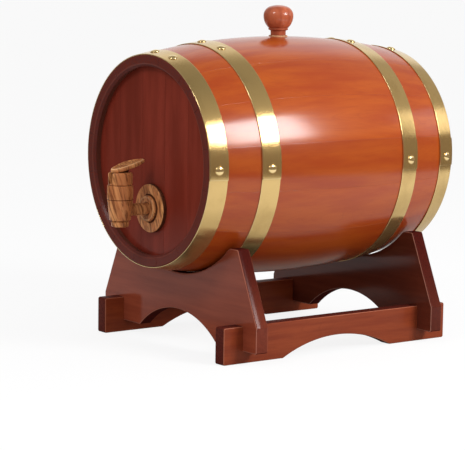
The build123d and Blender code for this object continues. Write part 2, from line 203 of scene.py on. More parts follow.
@dataclass
class Shell:
    """Closed surfaces of one piece, gathered as arrays of points and faces."""

    points: list[Array] = field(default_factory=list)
    faces: list[list[int]] = field(default_factory=list)
    marks: dict[str, list[Array]] = field(default_factory=lambda: {name: [] for name in MARKS})
    count: int = 0

    def loft(self, loops: Array, ring: bool = False, **marks: Union[float, Array]) -> "Shell":
        """Skin carried over a stack of closed loops.

        Args:
            loops: Stack of loops, an array of loops by points by 3.
            ring: Join the last loop to the first, otherwise both ends are capped.
            **marks: Values of the marks at each point, 0 where none is given.

        Returns:
            The shell itself.
        """
        stack, around = loops.shape[:2]
        ids = self.count + np.arange(stack * around).reshape(stack, around)
        ids = np.concatenate([ids, ids[:, :1]], axis=1)
        if ring:
            ids = np.concatenate([ids, ids[:1]], axis=0)
        quads = np.stack([ids[:-1, :-1], ids[:-1, 1:], ids[1:, 1:], ids[1:, :-1]], axis=-1)
        self.faces += quads.reshape(-1, 4).tolist()
        if not ring:
            self.faces += [ids[0, :-1].tolist(), ids[-1, :-1][::-1].tolist()]
        self.points.append(loops.reshape(-1, 3))
        for name in MARKS:
            self.marks[name].append(np.broadcast_to(marks.get(name, 0.0), (stack, around)).reshape(-1))
        self.count += stack * around
        return self

    def piece(self, name: str, crease: float = CREASE) -> bpy.types.Object:
        """Turns the shell into an object of the scene, with outward normals and its marks."""
        mesh = bpy.data.meshes.new(name)
        mesh.from_pydata(np.concatenate(self.points) * METRE, [], self.faces)
        for mark, values in self.marks.items():
            layer = mesh.attributes.new(mark, "FLOAT", "POINT")
            layer.data.foreach_set("value", np.concatenate(values).astype(np.float32))
        work = bmesh.new()
        work.from_mesh(mesh)
        bmesh.ops.remove_doubles(work, verts=work.verts, dist=WELD * METRE)
        bmesh.ops.recalc_face_normals(work, faces=work.faces)
        work.to_mesh(mesh)
        work.free()
        shade_smooth(mesh, crease)
        return linked(name, mesh)


def turn_profile(profile: Array, steps: int = 96) -> Array:
    """Surface of revolution about local Z: (r cos a, r sin a, z) for each profile point (r, z)."""
    turn = np.linspace(0, 2 * math.pi, steps, endpoint=False)
    radius, height = profile[:, :1], profile[:, 1:]
    return joined(radius * np.cos(turn), radius * np.sin(turn), height)


def placed(points: Array, place: Matrix) -> Array:
    """Points moved by a rigid place, given in millimetres."""
    turn = np.array(place.to_3x3())
    return points @ turn.T + np.array(place.translation)


def cut_out(piece: bpy.types.Object, cutter: bpy.types.Object) -> None:
    """Takes the cutter's volume out of the piece, and deletes the cutter."""
    change = piece.modifiers.new("cut", "BOOLEAN")
    change.operation = "DIFFERENCE"
    change.solver = "EXACT"
    change.object = cutter
    graph = bpy.context.evaluated_depsgraph_get()
    mesh = bpy.data.meshes.new_from_object(piece.evaluated_get(graph))
    piece.modifiers.remove(change)
    piece.data = mesh
    shade_smooth(mesh, CREASE)
    bpy.data.objects.remove(cutter, do_unlink=True)


# ---------------------------------------------------------------- shader graph


def linear(colour: Colour, alpha: float = 1.0) -> tuple[float, float, float, float]:
    """Colour written as 0 to 255 screen values, as the linear light that shaders use."""
    share = np.array(colour) / 255
    light = np.where(share <= 0.04045, share / 12.92, ((share + 0.055) / 1.055) ** 2.4)
    return (float(light[0]), float(light[1]), float(light[2]), alpha)


class Wire:
    """A socket that takes part in sums: each operation on it adds one Math node."""

    def __init__(self, graph: "Graph", socket: bpy.types.NodeSocket) -> None:
        """Wraps an output socket of the graph."""
        self.graph = graph
        self.socket = socket

    def maths(self, operation: str, *terms: Union["Wire", float]) -> "Wire":
        """One Math node on the terms."""
        return self.graph.node("ShaderNodeMath", {"operation": operation}, dict(enumerate(terms)))

    def __add__(self, other: Union["Wire", float]) -> "Wire":
        """Sum."""
        return self.maths("ADD", self, other)

    def __sub__(self, other: Union["Wire", float]) -> "Wire":
        """Difference."""
        return self.maths("SUBTRACT", self, other)

    def __rsub__(self, other: Union["Wire", float]) -> "Wire":
        """Difference the other way round."""
        return self.maths("SUBTRACT", other, self)

    def __mul__(self, other: Union["Wire", float]) -> "Wire":
        """Product."""
        return self.maths("MULTIPLY", self, other)

    def __pow__(self, power: float) -> "Wire":
        """Power."""
        return self.maths("POWER", self, power)

    def __abs__(self) -> "Wire":
        """Size without sign."""
        return self.maths("ABSOLUTE", self)

    def sine(self) -> "Wire":
        """Sine, of radians."""
        return self.maths("SINE", self)

    def bearing(self, across: "Wire") -> "Wire":
        """Angle in radians whose sine part is this and cosine part is across."""
        return self.maths("ARCTAN2", self, across)

    def wrapped(self) -> "Wire":
        """Angle brought between minus and plus half a turn."""
        return self.maths("WRAP", self, math.pi, -math.pi)

    def fade(self, low: float, high: float) -> "Wire":
        """Smooth step from 0 at low to 1 at high."""
        return self.graph.node(
            "ShaderNodeMapRange",
            {"interpolation_type": "SMOOTHSTEP"},
            {"Value": self, "From Min": low, "From Max": high},
        )


class Graph:
    """The shader nodes of one material or of the world."""

    def __init__(self, tree: bpy.types.NodeTree) -> None:
        """Starts from an empty node tree."""
        self.tree = tree
        tree.nodes.clear()

    def node(
        self,
        kind: str,
        settings: Union[dict, None] = None,
        inputs: Union[dict, None] = None,
        output: Union[int, str] = 0,
    ) -> Wire:
        """Adds a node.

        Args:
            kind: Blender's name for the node type.
            settings: Its properties, set first; "stops" are the (place, colour) pairs of a ramp.
            inputs: Values or wires by socket name or number.
            output: The output to hand back.

        Returns:
            The chosen output.
        """
        made = self.tree.nodes.new(kind)
        for name, value in (settings or {}).items():
            if name == "stops":
                self.set_stops(made, value)
            else:
                setattr(made, name, value)
        for name, value in (inputs or {}).items():
            if isinstance(value, Wire):
                self.tree.links.new(value.socket, made.inputs[name])
            else:
                made.inputs[name].default_value = value
        return Wire(self, made.outputs[output])

    @staticmethod
    def set_stops(ramp: bpy.types.Node, stops: Sequence[tuple[float, Colour]]) -> None:
        """Gives a colour ramp its stops."""
        elements = ramp.color_ramp.elements
        while len(elements) < len(stops):
            elements.new(1.0)
        for element, (position, colour) in zip(elements, stops):
            element.position = position
            element.color = linear(colour)

    def mix(self, share: Union[Wire, float], first: object, second: object) -> Wire:
        """Colour that goes from first to second as share goes from 0 to 1."""
        colours = [value if isinstance(value, Wire) else linear(value) for value in (first, second)]
        return self.node(
            "ShaderNodeMix", {"data_type": "RGBA"}, {0: share, 6: colours[0], 7: colours[1]}, output=2
        )

    def mark(self, name: str) -> Wire:
        """A number stored on the mesh's points."""
        return self.node("ShaderNodeAttribute", {"attribute_name": name}, output="Fac")

    def place(self) -> Wire:
        """Object coordinates, in metres."""
        return self.node("ShaderNodeTexCoord", output="Object")

    def axes(self, vector: Wire) -> tuple[Wire, Wire, Wire]:
        """The three parts of a vector."""
        split = self.node("ShaderNodeSeparateXYZ", inputs={0: vector})
        return tuple(Wire(self, output) for output in split.socket.node.outputs)

    def vector(self, x: object, y: object, z: object) -> Wire:
        """A vector from three numbers or wires."""
        return self.node("ShaderNodeCombineXYZ", inputs={0: x, 1: y, 2: z})

    def add(self, first: Wire, second: Wire) -> Wire:
        """Sum of two vectors."""
        return self.node("ShaderNodeVectorMath", {"operation": "ADD"}, {0: first, 1: second})

    def noise(
        self,
        place: Wire,
        scale: Sequence[float],
        detail: float = 2.0,
        roughness: float = 0.5,
        distortion: float = 0.0,
        turn: Sequence[float] = (0.0, 0.0, 0.0),
    ) -> Wire:
        """Smooth random field around 0.5, stretched by scale after a turn in radians."""
        mapped = self.node(
            "ShaderNodeMapping", {"vector_type": "POINT"}, {"Vector": place, "Rotation": turn}
        )
        stretched = self.node(
            "ShaderNodeMapping", {"vector_type": "POINT"}, {"Vector": mapped, "Scale": scale}
        )
        return self.node(
            "ShaderNodeTexNoise",
            inputs={
                "Vector": stretched,
                "Scale": 1.0,
                "Detail": detail,
                "Roughness": roughness,
                "Distortion": distortion,
            },
        )

    def bump(self, height: Wire, strength: float, distance: float) -> Wire:
        """Normal from a height field; distance is in millimetres."""
        return self.node(
            "ShaderNodeBump",
            inputs={"Height": height, "Strength": strength, "Distance": distance * METRE},
            output="Normal",
        )

    def seen(self) -> tuple[Wire, Wire]:
        """1 where the camera looks, and 1 where a mirror or glass does, otherwise 0."""
        camera = self.node("ShaderNodeLightPath", output="Is Camera Ray")
        rays = camera.socket.node.outputs
        return camera, Wire(self, rays["Is Glossy Ray"]) + Wire(self, rays["Is Transmission Ray"])

    def surface(self, inputs: dict) -> None:
        """Ends the graph in a Principled surface with these sockets."""
        self.end(self.node("ShaderNodeBsdfPrincipled", inputs=inputs))

    def end(self, shader: Wire, kind: str = "ShaderNodeOutputMaterial") -> None:
        """Joins a shader to the output of a material or of the world."""
        output = self.tree.nodes.new(kind)
        self.tree.links.new(shader.socket, output.inputs["Surface"])


def new_material(name: str) -> tuple[bpy.types.Material, Graph]:
    """An empty material and its graph."""
    material = bpy.data.materials.new(name)
    material.use_nodes = True
    return material, Graph(material.node_tree)


# ---------------------------------------------------------------- finishes


@dataclass(frozen=True)
class Wood:
    """Stained and varnished wood: broad figure, fine streaks, contour lines, edges of their own tone, and
    painted shade where marked.
    """

    slot: str
    pale: Colour
    dark: Colour
    line: Colour
    # colour of the eased edges: wear, and on the pale woods partly a painted highlight
    edge_tone: Colour
    # colour of soaked end grain, also used as painted shade in grooves, recesses and under parts
    soak_and_shade: Colour
    grain: Grain
    across: float = 70.0  # broad figure, patterns per metre across the grain
    along: float = 9.0
    fineness: float = 9.0  # streaks across the grain for each pattern of the broad figure
    streaks: float = 0.15  # how dark the fine streaks are
    streak_cut: tuple[float, float] = (0.52, 0.72)
    lines: float = 0.14  # how dark the contour lines are
    rings: float = 95.0  # contour lines across the field's whole range, times pi
    ring_cut: tuple[float, float] = (0.72, 1.0)
    shade: float = 0.25  # difference between boards
    edge_share: float = 0.35
    tilt: tuple[float, float, float] = (0.0, 0.0, 0.0)  # grain's turn in degrees
    roughness: float = 0.38
    specular: float = 0.05
    coat: float = 0.85
    coat_roughness: float = 0.17
    coat_loss: float = 0.85  # share of the varnish taken away where the stain mark lies dark, on soaked end grain and on painted shade
    relief: float = 0.05  # bump strength
    recess_shade: Colour = (106, 58, 45)  # painted shade of the cask's inner wall, seen in the recess inside the rim

    def material(self, name: str) -> bpy.types.Material:
        """Builds the node material under that name."""
        material, graph = new_material(name)
        tint, edge = graph.mark("tint"), graph.mark("edge")
        shift = graph.vector(tint * 0.37, tint * 0.59, tint * 0.23)
        place = graph.add(graph.place(), shift)
        turn = tuple(math.radians(angle) for angle in self.tilt)
        broad = graph.noise(place, self.grain.stretch(self.across, self.along), 4.0, 0.55, turn=turn)
        streak = graph.noise(
            place, self.grain.stretch(self.fineness * self.across, 3.5 * self.along), 3.0, 0.6, turn=turn
        )
        field_height = graph.noise(
            place, self.grain.stretch(0.3 * self.across, 0.45 * self.along), 1.0, 0.4, 0.25, turn
        )
        ripple = 1 - abs((field_height * self.rings).sine())
        contour = ripple.fade(*self.ring_cut) * broad.fade(0.36, 0.6)
        colour = graph.mix(broad.fade(0.30, 0.70), self.dark, self.pale)
        colour = graph.mix(streak.fade(*self.streak_cut) * self.streaks, colour, self.line)
        colour = graph.mix(contour * self.lines, colour, self.line)
        colour = graph.mix(tint.fade(0.0, 1.0) * self.shade, colour, self.line)
        mottle = graph.noise(place, (700.0, 700.0, 700.0), 3.0, 0.6)
        # soaked end grain, and painted shade where the mark stands for it
        soak_and_shade_tone = graph.mix(mottle.fade(0.40, 0.66) * 0.7, self.soak_and_shade, self.line)
        stain = graph.mark("stain").fade(0.0, 1.0)
        colour = graph.mix(stain, colour, soak_and_shade_tone)
        # painted shade of the recess inside the rim, where the mark reaches 2
        colour = graph.mix(graph.mark("stain").fade(1.1, 1.9), colour, self.recess_shade)
        # edge tone: wear, and on pale wood partly a painted highlight along the edges
        colour = graph.mix(edge.fade(0.25, 0.9) * self.edge_share, colour, self.edge_tone)
        graph.surface(
            {
                "Base Color": colour,
                "Roughness": (streak - 0.5) * 0.10 + stain * 0.2 + self.roughness,
                "Coat Weight": (1 - stain * self.coat_loss) * self.coat,
                "Coat Roughness": self.coat_roughness,
                "Specular IOR Level": self.specular,
                "Normal": graph.bump(streak * 0.6 + broad * 0.4, self.relief, 0.3),
            }
        )
        return material


@dataclass(frozen=True)
class Brass:
    """Rolled brass strip: fine brush lines around the cask, soft tarnish, bright edges."""

    slot: str
    metal: Colour
    tarnish: Colour
    bright: Colour
    roughness: float = 0.15
    brushed: bool = True
    relief: float = 0.6  # depth of the brush lines, in tenths of a millimetre
    metallic: float = 0.86  # the rest is a dull film that scatters light

    def material(self, name: str, axis_height: float) -> bpy.types.Material:
        """Builds the node material; axis_height is the cask axis above the floor."""
        material, graph = new_material(name)
        place = graph.place()
        across, along, up = graph.axes(place)
        angle = (up - axis_height * METRE).bearing(across)
        strip = graph.vector(angle * 5.0, along * 2600.0, 0.0) if self.brushed else place
        scale = (1.0, 1.0, 1.0) if self.brushed else (900.0, 900.0, 900.0)
        brush = graph.noise(strip, scale, 3.0, 0.6)
        cloud = graph.noise(place, (38.0, 38.0, 38.0), 4.0, 0.6)
        edge = graph.mark("edge")
        colour = graph.mix(cloud.fade(0.45, 0.75) * 0.35, self.metal, self.tarnish)
        colour = graph.mix(edge.fade(0.3, 0.9) * 0.6, colour, self.bright)
        graph.surface(
            {
                "Base Color": colour,
                "Metallic": self.metallic,
                "Roughness": (brush - 0.5) * 0.10 + (cloud - 0.5) * 0.08 + self.roughness,
                "Normal": graph.bump(brush, self.relief, 0.1),
            }
        )
        return material


@dataclass(frozen=True)
class Cork:
    """Matt cork with dark pores."""

    slot: str = "cork"
    pale: Colour = (206, 154, 112)
    dark: Colour = (138, 88, 58)

    def material(self, name: str) -> bpy.types.Material:
        """Builds the node material."""
        material, graph = new_material(name)
        place = graph.place()
        cloud = graph.noise(place, (220.0, 220.0, 220.0), 4.0, 0.6)
        cells = graph.node(
            "ShaderNodeTexVoronoi", inputs={"Vector": place, "Scale": 520.0}, output="Distance"
        )
        pores = 1 - cells.fade(0.15, 0.4)
        colour = graph.mix(cloud.fade(0.35, 0.7), self.pale, self.dark)
        colour = graph.mix(pores * 0.6, colour, self.dark)
        graph.surface(
            {
                "Base Color": colour,
                "Roughness": 0.85,
                "Normal": graph.bump(cells, 0.4, 0.3),
            }
        )
        return material


CASK_WOOD = Wood(
    "cask_wood",
    pale=(172, 78, 19),
    dark=(156, 60, 16),
    line=(112, 38, 20),
    edge_tone=(150, 86, 72),
    soak_and_shade=(90, 43, 38),
    grain=Grain.ALONG_Y,
)
KNOB_WOOD = Wood(
    "cask_wood",
    pale=(186, 97, 64),
    dark=(160, 77, 50),
    line=(104, 38, 24),
    edge_tone=(214, 120, 78),
    soak_and_shade=(104, 52, 42),
    grain=Grain.ALONG_Z,
    across=160.0,
)
HEAD_WOOD = Wood(
    "head_wood",
    pale=(132, 49, 35),
    dark=(113, 39, 26),
    line=(66, 24, 18),
    edge_tone=(70, 24, 20),
    soak_and_shade=(92, 38, 32),
    grain=Grain.ALONG_Z,
    streaks=0.12,
    lines=0.08,
    shade=0.15,
    coat=0.22,
    coat_roughness=0.2,
)
BOARD_WOOD = Wood(
    "stand_wood",
    pale=(143, 68, 46),
    dark=(128, 57, 38),
    line=(40, 16, 13),
    edge_tone=(204, 146, 126),
    soak_and_shade=(74, 24, 19),
    grain=Grain.ALONG_X,
    across=120.0,
    streaks=0.1,
    lines=0.04,
    shade=0.6,
    edge_share=0.5,
    specular=0.0,
    coat=0.45,
    coat_roughness=0.12,
    coat_loss=0.97,
)
RAIL_WOOD = Wood(
    "stand_wood",
    pale=(142, 65, 36),
    dark=(124, 52, 30),
    line=(62, 22, 16),
    edge_tone=(200, 136, 108),
    soak_and_shade=(92, 36, 28),
    grain=Grain.ALONG_Y,
    across=120.0,
    lines=0.1,
    edge_share=0.45,
    coat=0.2,
    coat_roughness=0.2,
)
TAP_WOOD = Wood(
    "tap_wood",
    pale=(230, 162, 102),
    dark=(182, 110, 64),
    line=(106, 54, 28),
    edge_tone=(244, 202, 150),
    soak_and_shade=(70, 36, 24),
    grain=Grain.ALONG_Z,
    across=110.0,
    along=8.0,
    fineness=3.6,
    streaks=0.75,
    streak_cut=(0.47, 0.64),
    lines=0.7,
    rings=50.0,
    ring_cut=(0.3, 0.95),
    shade=0.0,
    edge_share=0.6,
    tilt=(-13.0, 10.0, 0.0),
    roughness=0.45,
    coat=0.25,
    coat_roughness=0.3,
    relief=0.12,
)
HOOP_BRASS = Brass("hoop_brass", (214, 182, 120), (176, 144, 88), (240, 220, 170))
RIVET_BRASS = Brass("rivet_brass", (236, 208, 150), (200, 166, 108), (244, 226, 178), 0.1, False, 0.0)
CORK = Cork()


# ---------------------------------------------------------------- taking a place in the frame


def settle(
    piece: bpy.types.Object,
    material: bpy.types.Material,
    slot: str,
    body: Body,
    *nodes: str,
) -> None:
    """Gives a piece its material, its body and the CAD nodes that it stands for."""
    piece.data.materials.clear()
    piece.data.materials.append(material)
    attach(piece, body.value)
    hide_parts(*nodes)
    log.info("%s: %d faces", piece.name, len(piece.data.polygons))


# ---------------------------------------------------------------- cask


@dataclass(frozen=True)
class CaskForm:
    """The bulged form that staves, heads and hoops share."""

    end_radius: float = 108.0
    wall: float = 12.0
    rim: float = 9.0
    bevel: float = 3.0

    @property
    def length(self) -> float:
        """End to end of the staves."""
        return float(np.ptp(box_mm(LOWEST_STAVE)[:, 1]))

    @property
    def centre(self) -> Array:
        """Middle of the cask, on its axis."""
        return np.array([0.0, middle(LOWEST_STAVE)[1], middle("front_head_board_3")[2]])

    @property
    def bilge_radius(self) -> float:
        """Outside radius at mid-length: the axis height less the lowest point of the lowest stave."""
        return float(self.centre[2] - box_mm(LOWEST_STAVE)[0, 2])

    @property
    def stave_arc(self) -> float:
        """Radius of the staves' lengthwise arc: (half length squared + rise squared) / (2 rise)."""
        rise = self.bilge_radius - self.end_radius
        return ((self.length / 2) ** 2 + rise**2) / (2 * rise)

    def radius(self, along: Array, depth: float = 0.0) -> Array:
        """Radius at a distance along from the middle, depth inside the staves' outside."""
        return self.bilge_radius - self.stave_arc + np.sqrt((self.stave_arc - depth) ** 2 - along**2)

    def on_cask(self, radius: Array, along: Array, angle: Array) -> Array:
        """Point at a radius and distance along, angle in degrees from +X towards +Z."""
        turn = np.radians(angle)
        return joined(radius * np.cos(turn), along, radius * np.sin(turn)) + self.centre


@dataclass
class Staves:
    """The staves: each a bulged bar between two radial planes, its long edges slightly eased."""

    form: CaskForm
    seam: float = 0.12  # easing of the long edges
    gap: float = 0.01
    end_round: float = 0.8
    bung_clearance: float = 0.3
    shades: tuple[float, ...] = (  # from -1, palest, to 1, darkest, clockwise from the bung: each stave's own tone, and the seventh, low on the near side, darkest as painted shade of the underside
        (0.1, -0.4, 0.2, -0.9, 0.75, 0.45, 1.0, 0.6, -0.3, 0.4, -0.6, 0.5, -0.2, 0.7, 0.0, -0.5)
    )

    def section(self) -> tuple[Array, Array, Array, Array]:
        """Closed rounded bar: sides (wall, width) as -1 to 1, and the corner's own direction.

        Each broad side has 13 points, each corner 4, and each narrow side 2 between its corners.
        """
        flat = np.concatenate([[-1], np.linspace(-0.985, 0.985, 11), [1]])
        down = np.linspace(1, -1, 4)[1:-1]
        corner = np.radians([0, 30, 60, 90])
        cos, sin = np.cos(corner), np.sin(corner)
        one, zero = np.ones(4), np.zeros(len(flat))
        wall = np.concatenate([zero + 1, one, down, -one, zero - 1, -one, -down, one])
        width = np.concatenate([flat, one, zero[:2] + 1, one, -flat, -one, zero[:2] - 1, -one])
        out = np.concatenate([zero + 1, cos, zero[:2], -sin, zero - 1, -cos, zero[:2], sin])
        side = np.concatenate([zero, sin, zero[:2] + 1, cos, zero, -sin, zero[:2] - 1, -cos])
        return wall, width, out, side

    def stave(self, index: int, tint: float) -> Shell:
        """One stave as a stack of rounded sectors along the cask.

        Across the wall a point lies at the mid radius plus half the wall, less the corner's radius, and
        then out by the corner's direction. Across the width it lies likewise at half the width.
        """
        form = self.form
        half = form.length / 2
        inset, depth = quarter_round(self.end_round, 4, 0.4)
        ends = half - depth
        near_end = half - np.array([1.6, form.bevel, form.bevel + 0.5])  # closer loops at the rim
        body = np.concatenate([-near_end, np.linspace(8 - half, half - 8, 57), near_end[::-1]])
        along = np.concatenate([-ends, body, ends[::-1]])
        drawn = np.concatenate([inset, np.zeros(len(body)), inset[::-1]])
        outer = form.radius(along) - drawn
        mouth = form.end_radius - form.rim - (half - np.abs(along)) * self.mouth_slope()
        inner = np.maximum(form.radius(along, form.wall), mouth) + drawn
        wall, width, out, side = self.section()
        middle_radius, half_wall = (outer + inner)[:, None] / 2, (outer - inner)[:, None] / 2
        across = middle_radius + wall * (half_wall - self.seam) + out * self.seam
        half_angle = math.radians(180 / len(self.shades))
        half_width = across * half_angle - self.gap - 0.6 * drawn[:, None]
        offset = width * (half_width - self.seam) + side * self.seam
        angle = 90 - index * 360 / len(self.shades) + np.degrees(offset / across)
        loops = form.on_cask(across, along[:, None], angle)
        faces_in = out < -0.3  # the side towards the cask's inside
        # painted highlight lines along the rim's rounded inner edges
        chime_glint = np.where(drawn > 0.02, 0.6, 0.0)[:, None] * faces_in
        edge_tone = np.maximum(np.clip(np.abs(side * out) * 2, 0, 1), chime_glint)
        edge_tone[[0, -1]] = 0
        from_end = (half - np.abs(along))[:, None]
        # the inner wall past the bevel takes the painted shade of the recess; the bevel and the ends are
        # soaked end grain
        inside = np.where(from_end > form.bevel + 0.2, RECESS_SHADE, SOAK_AND_SHADE)
        stain = np.where(faces_in, inside, np.where(from_end < 0.7 * self.end_round, SOAK_AND_SHADE, 0.0))
        return Shell().loft(loops, tint=tint, edge=edge_tone, stain=stain)

    def mouth_slope(self) -> float:
        """Slope of the bevel inside the rim."""
        half = self.form.length / 2
        inside = float(self.form.radius(np.array(half - self.form.bevel), self.form.wall))
        return (self.form.end_radius - self.form.rim - inside) / self.form.bevel

    def bung_hole(self) -> bpy.types.Object:
        """Tapered cutter for the bung hole, a cone that follows the cork with a clearance."""
        low, high = box_mm("bung_cork")
        top = (high[0] - low[0]) / 2 + self.bung_clearance
        taper = (high[2] - low[2]) * math.tan(math.radians(Bung.taper))
        foot, mouth = low[2] - 4, high[2] + 0.2  # past both faces of the stave
        profile = np.array([(0, foot), (top - taper, foot), (top, mouth), (0, mouth)])
        loops = turn_profile(profile, 64) + np.array([0, middle("bung_cork")[1], 0])
        return Shell().loft(loops).piece("bung_hole_cutter")

    def build(self) -> None:
        """Builds every stave and cuts the bung hole in the first."""
        material = CASK_WOOD.material("varnished stave")
        for index, shade in enumerate(self.shades):
            node = f"stave_{index + 1:02d}"
            piece = self.stave(index, shade).piece(f"{node}_varnished", 50)
            if index == 0:
                cut_out(piece, self.bung_hole())
            settle(piece, material, CASK_WOOD.slot, Body.CASK, node)


@dataclass
class Head:
    """One head of upright boards with eased front edges, cut to the round of the croze."""

    form: CaskForm
    name: str
    facing: int  # -1 looks to -Y, 1 to +Y
    count: int = 5
    ease: float = 0.2

    def board(self, index: int, tint: float) -> Shell:
        """One board: the outline of its part of the disc, stacked from back to front."""
        low, high = box_mm(f"{self.name}_{index + 1}")
        radius = np.ptp(box_mm(f"{self.name}_3")[:, 2]) / 2
        left, right = low[0] + CLEARANCE, high[0] - CLEARANCE
        span = np.linspace(left, right, 15)
        height = np.sqrt(np.maximum(radius**2 - span**2, 0))
        upright = np.linspace(-1, 1, 9)[1:-1, None]
        top = np.stack([span[::-1], height[::-1]], axis=1)
        bottom = np.stack([span, -height], axis=1)
        left_side = np.concatenate([np.full((7, 1), left), -upright * height[0]], axis=1)
        right_side = np.concatenate([np.full((7, 1), right), upright * height[-1]], axis=1)
        outline = np.concatenate([bottom, right_side, top, left_side])
        inset, depth = quarter_round(self.ease, 3, 0.3)
        front, back = (low[1], high[1]) if self.facing < 0 else (high[1], low[1])
        step = np.sign(back - front)
        along = np.concatenate([front + step * depth, [back]])
        drawn = np.concatenate([inset, [0.0]])
        mid = (left + right) / 2
        scale = 1 - drawn[:, None] / (np.ptp(span) / 2)
        across = mid + (outline[:, 0] - mid) * scale
        loops = joined(across, along[:, None], outline[:, 1] + self.form.centre[2])
        edge_tone = np.clip(1 - np.abs(drawn - self.ease / 2) / self.ease, 0, 1)[:, None]
        edge_tone[[0, -1]] = 0
        return Shell().loft(loops, tint=tint, edge=edge_tone)

    def build(self, seed: int) -> None:
        """Builds the boards of this head."""
        material = HEAD_WOOD.material(f"{self.name} stain")
        tints = np.random.default_rng(seed).uniform(-1, 1, self.count)
        for index in range(self.count):
            node = f"{self.name}_{index + 1}"
            piece = self.board(index, float(tints[index])).piece(f"{node}_stained", 50)
            settle(piece, material, HEAD_WOOD.slot, Body.CASK, node)


@dataclass
class Hoop:
    """A brass strip bent round the cask, its outer end lapped over the inner and riveted."""

    form: CaskForm
    name: str
    rivet_angles: tuple[float, float]
    thickness: float = 1.0
    seat: float = 0.03
    lap_start: float = -5.0
    lap_span: float = 15.0
    rivet_radius: float = 4.7
    rivet_height: float = 2.0

    def span(self) -> tuple[float, float]:
        """Where the strip starts and ends along the cask, from its middle."""
        low, high = box_mm(f"{self.name}_hoop")[:, 1] - self.form.centre[1]
        return float(low), float(high)

    def strip(self, layer: int) -> tuple[Array, Array, Array]:
        """Section of a layer: radius and distance along of a thin rounded band, and its edge wear.

        The broad sides follow the staves' arc. Each long edge is a half circle as wide as the strip is
        thick.
        """
        low, high = self.span()
        half = self.thickness / 2
        ends = low + half, high - half
        flat = np.concatenate([ends[:1], np.linspace(ends[0] + 0.25, ends[1] - 0.25, 7), ends[1:]])
        turn = np.radians(np.linspace(90, -90, 7))[1:-1]
        depth = -(self.seat + self.thickness * layer + half)
        reach, lift = half * np.cos(turn), half * np.sin(turn)
        along = np.concatenate([flat, ends[1] + reach, flat[::-1], ends[0] - reach])
        rise = np.concatenate([flat * 0 + half, lift, flat * 0 - half, -lift])
        edge_tone = np.concatenate([flat * 0, np.cos(turn), flat * 0, np.cos(turn)])
        edge_tone[[0, 8]] = 0.5  # where the outer face meets the edges
        return self.form.radius(along, depth) + rise, along, edge_tone

    def build_strip(self, material: bpy.types.Material) -> None:
        """Builds the band all the way round, and the lap that lies on it."""
        radius, along, edge_tone = self.strip(0)
        angles = np.linspace(0, 360, 240, endpoint=False)[:, None]
        shell = Shell().loft(self.form.on_cask(radius, along, angles), ring=True, edge=edge_tone)
        radius, along, edge_tone = self.strip(1)
        angles = np.linspace(self.lap_start, self.lap_start + self.lap_span, 21)[:, None]
        end_wear = np.maximum(edge_tone, (np.arange(21) == 0)[:, None] * 1.0)
        shell.loft(self.form.on_cask(radius - 0.02, along, angles), edge=end_wear)
        piece = shell.piece(f"{self.name}_strip", 45)
        settle(piece, material, HOOP_BRASS.slot, Body.CASK, f"{self.name}_hoop")

    def rivet_place(self, angle: float, layers: int) -> Matrix:
        """Place on the strip where local Z points straight out of it."""
        low, high = self.span()
        along = (low + high) / 2
        arc_radius = self.form.stave_arc
        tilt = math.asin(along / arc_radius)
        lift = arc_radius + self.seat + layers * self.thickness
        centre = Matrix.Translation(Vector(self.form.centre))
        turn = Matrix.Rotation(-math.radians(angle), 4, "Y")
        inward = Matrix.Translation((self.form.bilge_radius - arc_radius, 0, 0))
        outward = Matrix.Rotation(tilt, 4, "Z") @ Matrix.Translation((lift, 0, 0))
        return centre @ turn @ inward @ outward @ Matrix.Rotation(math.pi / 2, 4, "Y")

    def build_rivets(self, material: bpy.types.Material) -> None:
        """Builds the domed rivet heads: half an ellipse (radius cos a, height sin a), turned."""
        cap = arc((0, 0), 1.0, 90, 0, 16) * np.array([self.rivet_radius, self.rivet_height])
        profile = np.concatenate([cap, [(0, 0)]])
        loops = turn_profile(profile, 40)
        shell = Shell()
        for angle, layers in ((0.0, 2), (self.rivet_angles[0], 1), (self.rivet_angles[1], 1)):
            shell.loft(placed(loops, self.rivet_place(angle, layers)))
        piece = shell.piece(f"{self.name}_rivet_heads", 45)
        settle(piece, material, RIVET_BRASS.slot, Body.CASK, f"{self.name}_rivets")


# ---------------------------------------------------------------- bung


